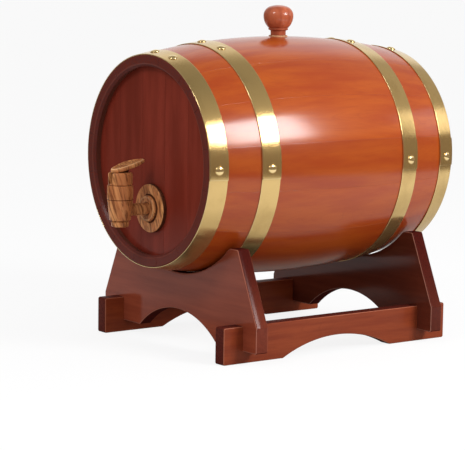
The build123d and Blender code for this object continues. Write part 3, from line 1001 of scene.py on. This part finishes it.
@dataclass
class Bung:
    """Turned knob on a tapered cork."""

    taper: float = 3.6
    neck_radius: float = 8.1
    neck_height: float = 5.4
    bead_radius: float = 10.7
    bead_height: float = 2.6
    ball_radius: float = 15.9
    ball_lower: float = 12.6
    ball_upper: float = 11.2
    shoulder: float = 10.3

    def knob_profile(self, base: float) -> Array:
        """Half outline of the knob from the cork's top: neck, bead, then a ball of three arcs."""
        bead_foot = base + self.neck_height
        bead_top = bead_foot + self.bead_height
        widest = bead_top + self.ball_lower
        flare = self.ball_radius - self.bead_radius
        flank_radius = (flare**2 + self.ball_lower**2) / (2 * flare)
        flank_reach = math.degrees(math.asin(self.ball_lower / flank_radius))
        flank = arc((self.ball_radius - flank_radius, widest), flank_radius, -flank_reach, 0, 14)
        inset, drop = self.ball_radius - self.shoulder, self.ball_upper - self.shoulder
        dome_radius = self.shoulder + (inset**2 + drop**2) / (2 * drop)
        meeting = math.degrees(math.atan2(dome_radius - self.ball_upper, inset))
        shoulder = arc((inset, widest), self.shoulder, 0, meeting, 12)[1:]
        dome = arc((0, widest + self.ball_upper - dome_radius), dome_radius, meeting, 90, 10)[1:]
        stem = rounded([
            (0, base, 0),
            (self.neck_radius, base, 0.5),
            (self.neck_radius, bead_foot - 0.4, 1.2),
            (self.bead_radius - 0.4, bead_foot + 0.3, 0.5),
            (self.bead_radius - 0.1, bead_top - 0.9, 0.5),
            (self.bead_radius - 0.9, bead_top - 0.3, 0.3),
            (self.bead_radius, bead_top, 0),
        ])
        return np.concatenate([stem, flank[1:], shoulder, dome])

    def build(self) -> None:
        """Builds the knob and the cork."""
        low, high = box_mm("bung_cork")
        place = np.array([0, middle("bung_cork")[1], 0])
        profile = self.knob_profile(high[2])
        # painted shade on the neck and bead under the ball
        neck_shade = np.where(profile[:, 1] < high[2] + self.neck_height + self.bead_height, 0.3, 0.0)
        shell = Shell().loft(turn_profile(profile, 96) + place, stain=neck_shade[:, None])
        knob = shell.piece("bung_knob_turned")
        settle(knob, KNOB_WOOD.material("varnished knob"), KNOB_WOOD.slot, Body.BUNG, "bung_knob")
        top = (high[0] - low[0]) / 2
        foot = top - (high[2] - low[2]) * math.tan(math.radians(self.taper))
        outline = rounded([(0, low[2], 0), (foot, low[2], 0.8), (top, high[2], 0.5), (0, high[2], 0)])
        cork = Shell().loft(turn_profile(outline, 64) + place).piece("bung_cork_turned")
        settle(cork, CORK.material("cork"), CORK.slot, Body.BUNG, "bung_cork")


# ---------------------------------------------------------------- tap


@dataclass
class Tap:
    """Wooden key tap: flange, barrel with its shank, liner, key, handle and spout ring."""

    hub_radius: float = 13.5
    hub_height: float = 3.9
    shank_radius: float = 6.25
    foot_radius: float = 10.8
    band: float = 14.5
    key_radius: float = 7.0
    key_fit: float = 0.05
    passage: float = 2.5
    collar_height: float = 12.8
    slot_width: float = 6.2
    slot_floor: float = 1.5
    slot_reveal: float = 4.2
    handle_length: float = 41.0
    handle_width: float = 20.0
    handle_thickness: float = 4.5
    handle_tilt: float = 15.8
    handle_lead: float = 11.2
    handle_lift: float = 4.1
    handle_dish: float = 1.0
    tip_taper: float = 0.42  # share of the leaf's thickness that is lost at its tip
    barrel_low: Array = field(init=False)
    barrel_high: Array = field(init=False)
    key_y: float = field(init=False)
    shank_z: float = field(init=False)
    collar_low: float = field(init=False)
    collar_top: float = field(init=False)
    wood: bpy.types.Material = field(init=False)

    def __post_init__(self) -> None:
        """Reads the tap's axes and levels from the CAD nodes."""
        self.barrel_low, self.barrel_high = box_mm("tap_liner")
        self.key_y = float(middle("tap_spout_ring")[1])
        self.shank_z = float(middle("tap_flange")[2])
        self.collar_low = float(box_mm("tap_key")[1, 2] - self.collar_height)
        self.collar_top = float(box_mm("tap_key")[1, 2])
        self.wood = TAP_WOOD.material("streaked tap wood")

    def upright(self, profile: Array, steps: int = 96) -> Array:
        """A turned shape about the key's axis; heights are above the floor."""
        return turn_profile(profile, steps) + np.array([0, self.key_y, 0])

    def level(self, profile: Array, face: float, steps: int = 96) -> Array:
        """A turned shape about the shank's axis; heights run out of the head from y = face."""
        turned = turn_profile(profile, steps)
        return joined(turned[..., 0], face - turned[..., 2], turned[..., 1] + self.shank_z)

    def build_flange(self) -> None:
        """Disc with a bullnose rim, a fine groove, and a hub, bored for the shank."""
        low, high = box_mm("tap_flange")
        radius = (high[0] - low[0]) / 2
        total = high[1] - low[1]
        disc = total - self.hub_height
        bore = self.shank_radius + CLEARANCE
        profile = closed([
            (bore, 0, 0),
            (radius - 0.4, 0, 0.3),
            (radius, 0.6, 0.4),
            (radius, disc, 1.1),
            (self.hub_radius + 1.8, disc, 0),
            (self.hub_radius + 1.1, disc, 0.2),
            (self.hub_radius - 0.2, disc - 0.5, 0.3),
            (self.hub_radius, total, 1.3),
            (self.hub_radius - 2.2, total, 0.7),
            (self.hub_radius - 2.9, total - 0.6, 0.6),
            (bore + 1.0, total - 0.5, 0.3),
            (bore + 0.2, total - 0.7, 0.3),
        ], 5)
        loops = self.level(profile, high[1], 128)
        # the hub's top is paler: wear, and partly a painted highlight on its raised ring
        edge_tone = np.where(np.abs(profile[:, 1] - total) < 0.35, 0.5, 0.0)
        rim = (profile[:, 0] > radius - 0.5) & (profile[:, 1] < disc - 0.5)
        # painted shade in the groove at the hub's foot and round the bore
        groove = (np.abs(profile[:, 0] - self.hub_radius) < 1.2) & (profile[:, 1] < disc + 0.1)
        groove |= profile[:, 0] < bore + 0.5
        stain = np.where(rim | groove, SOAK_AND_SHADE, 0.0)
        shell = Shell().loft(loops, ring=True, edge=edge_tone[:, None], stain=stain[:, None])
        piece = shell.piece("tap_flange_turned")
        settle(piece, self.wood, TAP_WOOD.slot, Body.CASK, "tap_flange")

    def build_barrel(self) -> None:
        """Barrel with a straight band over a taper, a turned line between them, and the shank."""
        foot, top = self.barrel_low[2], self.barrel_high[2]
        bore = (self.barrel_high[0] - self.barrel_low[0]) / 2 + CLEARANCE
        radius = box_mm("tap_body")[1, 0]
        step = top - self.band
        profile = closed([
            (bore, foot, 0),
            (self.foot_radius, foot, 0.7),
            (radius - 0.15, step - 0.5, 0.5),
            (radius - 0.55, step, 0.3),
            (radius, step + 0.7, 0.4),
            (radius, top, 0.6),
            (bore, top, 0.3),
        ])
        groove = np.interp(np.abs(profile[:, 1] - step), [0.2, 0.5], [0.9, 0.0])
        shell = Shell().loft(self.upright(profile, 128), ring=True, stain=groove[:, None])
        far = float(box_mm("tap_body")[1, 1])
        near = self.key_y + radius - 4.0
        length = far - near
        shank = closed([
            (self.passage, 0, 0),
            (self.shank_radius, 0, 0.5),
            (self.shank_radius, length, 0.3),
            (self.passage, length, 0.2),
        ])
        # painted shade on the shank, between the flange and the barrel
        shell.loft(self.level(shank, far, 64), ring=True, stain=0.3)
        piece = shell.piece("tap_body_turned")
        settle(piece, self.wood, TAP_WOOD.slot, Body.CASK, "tap_body")

    def build_liner(self) -> None:
        """Cork sleeve in the barrel."""
        outer = (self.barrel_high[0] - self.barrel_low[0]) / 2
        inner = self.key_radius + self.key_fit
        foot, top = self.barrel_low[2], self.barrel_high[2]
        profile = np.array([(inner, foot), (outer, foot), (outer, top), (inner, top)])
        piece = Shell().loft(self.upright(profile, 64), ring=True).piece("tap_liner_cork")
        settle(piece, CORK.material("liner cork"), CORK.slot, Body.CASK, "tap_liner")

    def build_key(self) -> None:
        """Key turned in one: plug bored from below, and a collar with the handle's slot cut through."""
        foot = box_mm("tap_key")[0, 2]
        collar = box_mm("tap_key")[1, 0]
        bore_top = self.shank_z + self.passage
        profile = rounded([
            (0, bore_top, 0),
            (self.passage, bore_top, 0),
            (self.passage, foot, 0.3),
            (self.key_radius, foot, 0.2),
            (self.key_radius, self.collar_low, 0),
            (collar - 0.5, self.collar_low, 0.3),
            (collar, self.collar_low + 1.2, 0.8),
            (collar, self.collar_top, 1.8),
            (0, self.collar_top, 0),
        ])
        piece = Shell().loft(self.upright(profile, 128)).piece("tap_key_turned")
        floor = self.collar_low + self.slot_floor
        half = self.slot_width / 2
        above = 60.0  # well clear of the collar
        slot = rounded([(-half, above, 0), (-half, 0, 1.2), (half, 0, 1.2), (half, above, 0)])
        ends = np.array([-2.0, 2.0]) * collar
        loops = joined(slot[:, 0], ends[:, None] + self.key_y, slot[:, 1] + floor)
        # the slot's walls take the cutter's mark: painted shade inside the slot
        cut_out(piece, Shell().loft(loops, stain=SOAK_AND_SHADE).piece("slot_cutter"))
        cut_out(piece, Shell().loft(self.side_port()).piece("port_cutter"))
        settle(piece, self.wood, TAP_WOOD.slot, Body.KEY, "tap_key")

    def side_port(self) -> Array:
        """Cutter for the side port: a cylinder from the key's axis out to +X."""
        reach = 3 * self.key_radius
        outline = np.array([(0, 0), (self.passage, 0), (self.passage, reach), (0, reach)])
        turned = turn_profile(outline, 32)
        return joined(turned[..., 2], turned[..., 0] + self.key_y, turned[..., 1] + self.shank_z)

    def leaf_place(self) -> Matrix:
        """Place of the handle's leaf: tilted up towards the cask about the key's axis."""
        at_axis = Matrix.Translation((0, self.key_y, self.collar_top + self.handle_lift))
        tilt = Matrix.Rotation(math.radians(self.handle_tilt), 4, "X")
        return at_axis @ tilt @ Matrix.Translation((0, self.handle_length / 2 - self.handle_lead, 0))

    def leaf(self) -> tuple[Array, Array, Array]:
        """Oval leaf: a plate dished on top, its edge a quarter ellipse over the outer eighth.

        Towards the tip it loses thickness from above, by the square of the distance along it.

        Returns:
            The leaf's loops about its own middle, and the edge tone and the darker dish of each loop.
        """
        rim = 0.125
        flat = np.linspace(0.02, 0.985 - rim, 12)
        bend = np.linspace(0, math.pi / 2, 8)
        share = np.concatenate([flat, 1 - rim + rim * np.sin(bend)])
        height = self.handle_thickness / 2 * np.concatenate([np.ones_like(flat), np.cos(bend)])
        share = np.concatenate([share, share[-2::-1]])
        height = np.concatenate([height, -height[-2::-1]])
        turn = np.linspace(0, 2 * math.pi, 72, endpoint=False)
        inside = np.clip((0.88 - share) / 0.22, 0, 1) * (height > 0)
        dish = -self.handle_dish * inside**2 * (3 - 2 * inside)
        across = share[:, None] * self.handle_width / 2 * np.cos(turn)
        ahead = share[:, None] * self.handle_length / 2 * np.sin(turn)
        tip = self.tip_taper * np.clip(ahead / (self.handle_length / 2), 0, 1) ** 2
        up = (height + dish)[:, None] - tip * (height[:, None] + self.handle_thickness / 2)
        edge_tone = np.clip(1 - np.abs(share - 0.92) / 0.08, 0, 1) * (height > 0)
        return joined(across, ahead, up), edge_tone[:, None], 0.3 * inside[:, None]

    def build_handle(self) -> None:
        """Leaf on a tenon; the leaf is trimmed flat where it meets the collar's top."""
        loops, edge_tone, hollow = self.leaf()
        leaf = placed(loops, self.leaf_place())
        leaf[..., 2] = np.maximum(leaf[..., 2], self.collar_top + CLEARANCE)
        half = self.slot_width / 2 - CLEARANCE
        reach = box_mm("tap_key")[1, 0] - self.slot_reveal
        floor = self.collar_low + self.slot_floor
        corners = [(half, -reach, 0.6), (half, reach, 0.6), (-half, reach, 0.6), (-half, -reach, 0.6)]
        outline = closed([(0, -reach, 0), *corners])
        slope = math.tan(math.radians(self.handle_tilt))
        sunk = 1.0  # how far below the leaf's middle the tenon ends
        roof = self.collar_top + self.handle_lift - sunk + outline[:, 1] * slope
        levels = np.linspace(0, 1, 6)[:, None]
        up = floor + 0.02 + levels * (roof - floor)
        tenon = joined(outline[:, 0], outline[:, 1] + self.key_y, up)
        # painted shade on the tenon down in the slot
        shell = Shell().loft(leaf, edge=edge_tone, stain=hollow).loft(tenon, stain=SOAK_AND_SHADE)
        piece = shell.piece("tap_handle_carved")
        settle(piece, self.wood, TAP_WOOD.slot, Body.KEY, "tap_handle")

    def build_ring(self) -> None:
        """Spout ring with a rounded lower edge."""
        low, high = box_mm("tap_spout_ring")
        radius = (high[0] - low[0]) / 2
        bore = self.key_radius + CLEARANCE
        profile = closed([
            (bore, low[2], 0),
            (radius - 0.3, low[2], 1.4),
            (radius, high[2] - 1.2, 0.6),
            (radius - 0.9, high[2], 0.5),
            (bore, high[2], 0),
        ])
        piece = Shell().loft(self.upright(profile, 96), ring=True).piece("tap_spout_ring_turned")
        settle(piece, self.wood, TAP_WOOD.slot, Body.KEY, "tap_spout_ring")

    def build(self) -> None:
        """Builds all of the tap."""
        self.build_flange()
        self.build_barrel()
        self.build_liner()
        self.build_key()
        self.build_handle()
        self.build_ring()


# ---------------------------------------------------------------- stand


@dataclass(frozen=True)
class Outline:
    """Closed outline whose sides can be drawn in, each by its own weight."""

    points: Array
    weight: Array  # of the side that starts at each point: 1 is eased, 0 stays square

    def slides(self) -> Array:
        """How each point moves when the eased sides are drawn in by one.

        The move d satisfies d . n = weight for the normals n of both sides at the point. Where the two
        sides are nearly in line it is their mean normal times the mean weight.
        """
        ahead = np.roll(self.points, -1, axis=0) - self.points
        normal = np.stack([-ahead[:, 1], ahead[:, 0]], axis=1) / np.linalg.norm(ahead, axis=1)[:, None]
        before, weight_before = np.roll(normal, 1, axis=0), np.roll(self.weight, 1)
        cross = before[:, 0] * normal[:, 1] - before[:, 1] * normal[:, 0]
        safe = np.where(np.abs(cross) < 0.2, 1.0, cross)
        solved = np.stack(
            [
                (weight_before * normal[:, 1] - self.weight * before[:, 1]) / safe,
                (self.weight * before[:, 0] - weight_before * normal[:, 0]) / safe,
            ],
            axis=1,
        )
        mean = (before + normal) / (1 + np.sum(before * normal, axis=1))[:, None]
        mean = mean * ((weight_before + self.weight) / 2)[:, None]
        return np.where((np.abs(cross) < 0.2)[:, None], mean, solved)


@dataclass
class Plank:
    """A board cut to an outline, with both broad faces eased along the outline."""

    outline: Outline
    ease: float

    def loops(self, thickness: float) -> tuple[Array, Array, dict[str, Array]]:
        """Outline drawn in along both edges: its two coordinates, each loop's depth, and the marks."""
        inset, depth = quarter_round(self.ease, 5, 0.5)
        drawn = np.concatenate([inset, inset[::-1]])
        level = np.concatenate([depth, thickness - depth[::-1]])
        flat = self.outline.points + drawn[:, None, None] * self.outline.slides()
        turn = np.clip(1 - np.abs(drawn - 0.45 * self.ease) / (0.45 * self.ease), 0, 1)
        edge = turn[:, None] * self.outline.weight
        stain = np.where(drawn < 0.1 * self.ease, SOAK_AND_SHADE, 0.0)[:, None]
        return flat, level[:, None], {"edge": edge, "stain": np.broadcast_to(stain, edge.shape)}


@dataclass
class Stand:
    """Cross-lapped cradle: two boards with saddle, horns, ears and arch, on two arched rails."""

    form: CaskForm
    ease: float = 1.2
    fit: float = 0.05
    board_arch_span: float = 137.2
    board_arch_rise: float = 26.8
    saddle_gap: float = 0.3
    saddle_ease: float = 9.0
    saddle_depth: float = 36.0
    horn_flat: float = 14.2
    ear_height: float = 26.3
    rail_arch_span: float = 142.8
    rail_arch_rise: float = 17.3
    corner: float = 2.0
    saddle_round: float = 8.0
    horn_round: float = 2.0

    arc_points: int = 61
    arc_middle: int = 30

    @property
    def lap(self) -> float:
        """Height where the two members of each cross-lap meet."""
        return float(box_mm("front_cradle_board")[0, 2] + box_mm("right_rail")[1, 2]) / 2

    def notch(self, low: float, high: float, edge: float, floor: float) -> list[tuple]:
        """Corners of a square notch from an edge level down or up to its floor level."""
        near, far = low - self.fit, high + self.fit
        return [(near, edge, 0), (near, floor, 0), (far, floor, 0), (far, edge, 0)]

    def mirrored(self, right: Array) -> Array:
        """Right half of an outline, from its bottom middle to its top middle, with its mirror image."""
        left = right[::-1] * np.array([-1, 1])
        return np.concatenate([right, left[1:-1]])

    def weights(
        self, points: Array, spans: Sequence[tuple[float, float]], low: float, high: float
    ) -> Array:
        """0 for the sides in a notch, between low and high and within one of the spans."""
        centre = (points + np.roll(points, -1, axis=0)) / 2
        inside = (centre[:, 1] > low) & (centre[:, 1] < high)
        notched = np.zeros(len(points), bool)
        for start, end in spans:
            notched |= (centre[:, 0] > start - 2 * self.fit) & (centre[:, 0] < end + 2 * self.fit)
        return np.where(inside & notched, 0.0, 1.0)

    def board_outline(self, node: str) -> Outline:
        """Face of a cradle board, from the middle of its arch round the right ear to the saddle."""
        low, high = box_mm(node)
        bottom, horn_top, ear = low[2], high[2], high[0]
        rail = box_mm("right_rail")[:, 0]
        saddle_low = horn_top - self.saddle_depth
        local = self.form.centre[2] - saddle_low - self.saddle_gap
        saddle_radius = local + self.saddle_ease
        saddle_end = math.sqrt(saddle_radius**2 - (saddle_radius - self.saddle_depth) ** 2)
        half_arch = self.board_arch_span / 2
        arch = chord_arc(
            (-half_arch, bottom), (half_arch, bottom), self.board_arch_rise, self.arc_points
        )
        saddle = chord_arc(
            (-saddle_end, horn_top), (saddle_end, horn_top), -self.saddle_depth, self.arc_points
        )
        edge = [(*arch[-3], 0), (half_arch, bottom, self.corner)]
        edge += self.notch(rail[0], rail[1], bottom, self.lap)
        edge += [
            (ear, bottom, self.corner),
            (ear, bottom + self.ear_height, self.corner),
            (saddle_end + self.horn_flat, horn_top, self.horn_round),
            (saddle_end, horn_top, self.saddle_round),
            (*saddle[-5], 0),
        ]
        right = [arch[self.arc_middle : -3], rounded(edge, 5), saddle[-6 : self.arc_middle - 1 : -1]]
        points = self.mirrored(np.concatenate(right))
        spans = [(rail[0], rail[1]), (-rail[1], -rail[0])]
        return Outline(points, self.weights(points, spans, bottom + 0.01, self.lap + 0.01))

    def rail_outline(self) -> Outline:
        """Face of a rail, from the middle of its arch round the rear foot to its top."""
        low, high = box_mm("right_rail")
        centre = (low[1] + high[1]) / 2
        half, top = high[1] - centre, high[2]
        board = box_mm("rear_cradle_board")[:, 1] - centre
        half_arch = self.rail_arch_span / 2
        arch = chord_arc((-half_arch, 0), (half_arch, 0), self.rail_arch_rise, self.arc_points)
        edge = [(*arch[-3], 0), (half_arch, 0, self.corner)]
        edge += [(half, 0, self.corner), (half, top, self.corner)]
        edge += self.notch(board[0], board[1], top, self.lap)[::-1] + [(0, top, 0)]
        points = self.mirrored(np.concatenate([arch[self.arc_middle : -3], rounded(edge, 5)]))
        spans = [(board[0], board[1]), (-board[1], -board[0])]
        return Outline(points, self.weights(points, spans, self.lap - 0.01, top - 0.01))

    def build_board(self, node: str, tint: float, material: bpy.types.Material) -> None:
        """Builds a cradle board; its outline lies across the cask."""
        low, high = box_mm(node)
        flat, level, marks = Plank(self.board_outline(node), self.ease).loops(high[1] - low[1])
        upright = np.abs(flat[..., 0]) > high[0] - 0.2  # the ears' upright ends are painted lighter: a painted sheen where they face the light
        marks["stain"] = marks["stain"] * np.where(upright, 0.5, 1.0)
        shell = Shell().loft(joined(flat[..., 0], low[1] + level, flat[..., 1]), tint=tint, **marks)
        settle(shell.piece(f"{node}_stained"), material, BOARD_WOOD.slot, Body.STAND, node)

    def build_rail(self, node: str, tint: float, material: bpy.types.Material) -> None:
        """Builds a rail; its outline lies along the cask."""
        low, high = box_mm(node)
        flat, level, marks = Plank(self.rail_outline(), self.ease).loops(high[0] - low[0])
        ahead = flat[..., 0] + middle(node)[1]
        shell = Shell().loft(joined(low[0] + level, ahead, flat[..., 1]), tint=tint, **marks)
        settle(shell.piece(f"{node}_stained"), material, RAIL_WOOD.slot, Body.STAND, node)

    def build(self) -> None:
        """Builds both boards and both rails."""
        board_material = BOARD_WOOD.material("mahogany board")
        rail_material = RAIL_WOOD.material("mahogany rail")
        self.build_board("front_cradle_board", 0.1, board_material)
        # the rear board set darkest, as painted shade from the cask above it
        self.build_board("rear_cradle_board", 1.0, board_material)
        self.build_rail("left_rail", -0.2, rail_material)
        self.build_rail("right_rail", 0.5, rail_material)


# ---------------------------------------------------------------- studio


def direction(azimuth: float, elevation: float) -> Vector:
    """Unit vector at angles in degrees: azimuth from -Y towards +X, elevation above the level."""
    turn, lift = math.radians(azimuth), math.radians(elevation)
    return Vector((math.sin(turn) * math.cos(lift), -math.cos(turn) * math.cos(lift), math.sin(lift)))


@dataclass
class Studio:
    """Pale floor, soft boxes, a plain world and the camera."""

    form: CaskForm
    azimuth: float = 52.97
    elevation: float = 7.58
    roll: float = 0.865
    lens: float = 165.24
    camera_from_cask: tuple[float, float, float] = (1780.4, -1392.2, 223.6)
    floor_half: float = 30.0  # metres
    bounce: Colour = (186, 184, 182)
    table: float = 845.0
    room: float = 3200.0
    backdrop: float = 233.0  # degrees, where the room is pale behind the cask

    def floor(self) -> None:
        """Pale floor that keeps the soft shadow.

        Seen by the camera it is white, to the diffuse bounce it is duller, and as the varnish mirrors it,
        it goes from a painted shadow, dark under the cask, to pale further out.
        """
        half = self.floor_half
        mesh = bpy.data.meshes.new("floor")
        corners = [(-half, -half, 0), (half, -half, 0), (half, half, 0), (-half, half, 0)]
        mesh.from_pydata(corners, [], [(0, 1, 2, 3)])
        material, graph = new_material("pale floor")
        direct, mirrored = graph.seen()
        across, along, _ = graph.axes(graph.place())
        aside, beyond = abs(across), abs(along - self.form.centre[1] * METRE)  # in metres
        # painted shadow under the cask, seen only in reflections
        painted_shadow = graph.mix(across.fade(-0.03, 0.05), (140, 132, 126), (30, 28, 26))
        near = graph.mix(aside.fade(0.078, 0.152) + beyond.fade(0.2, 0.3), painted_shadow, (218, 216, 212))
        far = graph.mix(aside.fade(0.155, 0.3), near, (255, 255, 255))
        lit_tone = graph.mix(direct, self.bounce, (246, 246, 246))
        lit = graph.node(
            "ShaderNodeBsdfDiffuse", inputs={"Color": graph.mix(mirrored, lit_tone, far)}
        )
        glow = graph.node("ShaderNodeEmission", inputs={"Color": graph.mix(mirrored, (255, 255, 255), far)})
        share = direct * 0.86 + mirrored * 0.8
        graph.end(graph.node("ShaderNodeMixShader", inputs={0: share, 1: lit, 2: glow}))
        mesh.materials.append(material)
        item = linked("floor", mesh)

    def world(self) -> None:
        """Dome that is white near the horizon and grey overhead."""
        world = bpy.data.worlds.new("studio dome")
        bpy.context.scene.world = world
        world.use_nodes = True
        graph = Graph(world.node_tree)
        direction = graph.node("ShaderNodeTexCoord", output="Generated")
        height = graph.axes(direction)[2]
        direct, mirrored = graph.seen()
        overhead = height.fade(0.12, 0.75) * (1 - direct)
        colour = graph.mix(overhead, (255, 255, 255), (222, 222, 224))
        strength = (direct + mirrored) * 0.15 + 0.85
        background = graph.node("ShaderNodeBackground", inputs={"Color": colour, "Strength": strength})
        graph.end(background, "ShaderNodeOutputWorld")

    def surround(self) -> None:
        """Dim studio room round the table top, for reflections alone.

        A ring on the floor from the table's edge outwards, and a dome over it. Its light is dim and warm
        near the level, paler above, and falls off overhead. Behind the cask it is as pale as a backdrop.
        """
        centre = self.form.centre[2]
        rise = np.radians(np.linspace(-math.degrees(math.asin(centre / self.room)), 90, 40))
        dome = np.stack([self.room * np.cos(rise), centre + self.room * np.sin(rise)], axis=1)
        lift = 4.0  # clear of the floor
        table = np.array([(self.table, lift), (0.5 * (self.table + self.room), lift)])
        profile = np.concatenate([table, dome[:-1] + [0, lift]])
        turned = turn_profile(profile, 96) + np.array([0, self.form.centre[1], 0])
        mesh = bpy.data.meshes.new("studio_surround")
        ids = np.arange(turned.shape[0] * 96).reshape(-1, 96)
        ids = np.concatenate([ids, ids[:, :1]], axis=1)
        quads = np.stack([ids[:-1, :-1], ids[1:, :-1], ids[1:, 1:], ids[:-1, 1:]], axis=-1)
        mesh.from_pydata(turned.reshape(-1, 3) * METRE, [], quads.reshape(-1, 4).tolist())
        item = linked("studio_surround", mesh)
        for ray in ("camera", "diffuse", "transmission", "volume_scatter", "shadow"):
            setattr(item, f"visible_{ray}", False)
        material, graph = new_material("dim studio room")
        across, along, up = graph.axes(graph.place())
        along = along - self.form.centre[1] * METRE
        level = (up - centre * METRE).bearing((across * across + along * along) ** 0.5)
        aside = across.bearing(along * -1.0)  # from -Y towards +X
        away = abs((aside - math.radians(self.backdrop)).wrapped())
        band, ceiling, backdrop, top = np.radians([(12, 17), (38, 85), (20, 34), (40, 60)])
        tone = graph.mix(level.fade(*band), (116, 97, 80), (170, 164, 156))
        tone = graph.mix(level.fade(*ceiling), tone, (112, 111, 108))
        pale = (1 - away.fade(*backdrop)) * (1 - level.fade(*top))
        tone = graph.mix(pale, tone, (252, 252, 252))
        graph.end(graph.node("ShaderNodeEmission", inputs={"Color": tone, "Strength": 1.0}))
        mesh.materials.append(material)

    def soft_box(
        self,
        name: str,
        azimuth: float,
        elevation: float,
        distance: float,
        size: tuple[float, float],
        radiance: float,
    ) -> None:
        """Rectangular area lamp that faces the cask.

        Args:
            name: The lamp's name.
            azimuth: Direction in degrees, from -Y towards +X.
            elevation: Direction in degrees above the cask's axis.
            distance: Metres from the cask's middle.
            size: Width and height in metres.
            radiance: How bright its face is, where 1 is white.
        """
        aim = direction(azimuth, elevation)
        lamp = bpy.data.lights.new(name, "AREA")
        lamp.shape = "RECTANGLE"
        lamp.size, lamp.size_y = size
        lamp.energy = radiance * math.pi * size[0] * size[1]
        item = linked(name, lamp)
        item.location = Vector(self.form.centre) * METRE + aim * distance
        item.rotation_euler = aim.to_track_quat("Z", "Y").to_euler()

    def camera(self) -> None:
        """Camera at the set viewing angle, with a slight roll."""
        back, level = direction(self.azimuth, self.elevation), direction(self.azimuth + 90, 0)
        rise, roll = back.cross(level), math.radians(self.roll)
        right = level * math.cos(roll) + rise * math.sin(roll)
        up = rise * math.cos(roll) - level * math.sin(roll)
        lens = bpy.data.cameras.new("camera")
        lens.lens = self.lens
        lens.clip_end = 200.0
        item = linked("camera", lens)
        place = (Vector(self.form.centre) + Vector(self.camera_from_cask)) * METRE
        item.matrix_world = Matrix.Translation(place) @ Matrix((right, up, back)).transposed().to_4x4()
        bpy.context.scene.camera = item

    def build(self) -> None:
        """Sets the whole studio."""
        self.floor()
        self.world()
        self.surround()
        self.soft_box("key soft box", 111.0, 27.0, 1.5, (0.5, 0.5), 21.0)
        self.soft_box("front soft box", 12.0, 41.0, 1.6, (0.38, 0.38), 10.4)
        self.soft_box("rear reflector", 156.0, 17.0, 1.6, (0.5, 0.42), 1.4)
        self.camera()
        bpy.context.scene.view_settings.view_transform = "Standard"


# ---------------------------------------------------------------- all of it


def main() -> None:
    logging.basicConfig(level=logging.INFO, format="%(message)s")
    form = CaskForm()
    Staves(form).build()
    Head(form, "front_head_board", facing=-1).build(seed=5)
    Head(form, "rear_head_board", facing=1).build(seed=6)
    hoop_material = HOOP_BRASS.material("rolled brass", form.centre[2])
    rivet_material = RIVET_BRASS.material("rivet brass", form.centre[2])
    for end, angles in (("front", (74.0, 90.5)), ("rear", (80.5, 96.5))):
        for kind in ("head", "quarter"):
            hoop = Hoop(form, f"{end}_{kind}", angles)
            hoop.build_strip(hoop_material)
            hoop.build_rivets(rivet_material)
    Bung().build()
    Tap().build()
    Stand(form).build()
    Studio(form).build()


if __name__ == "__main__":
    main()
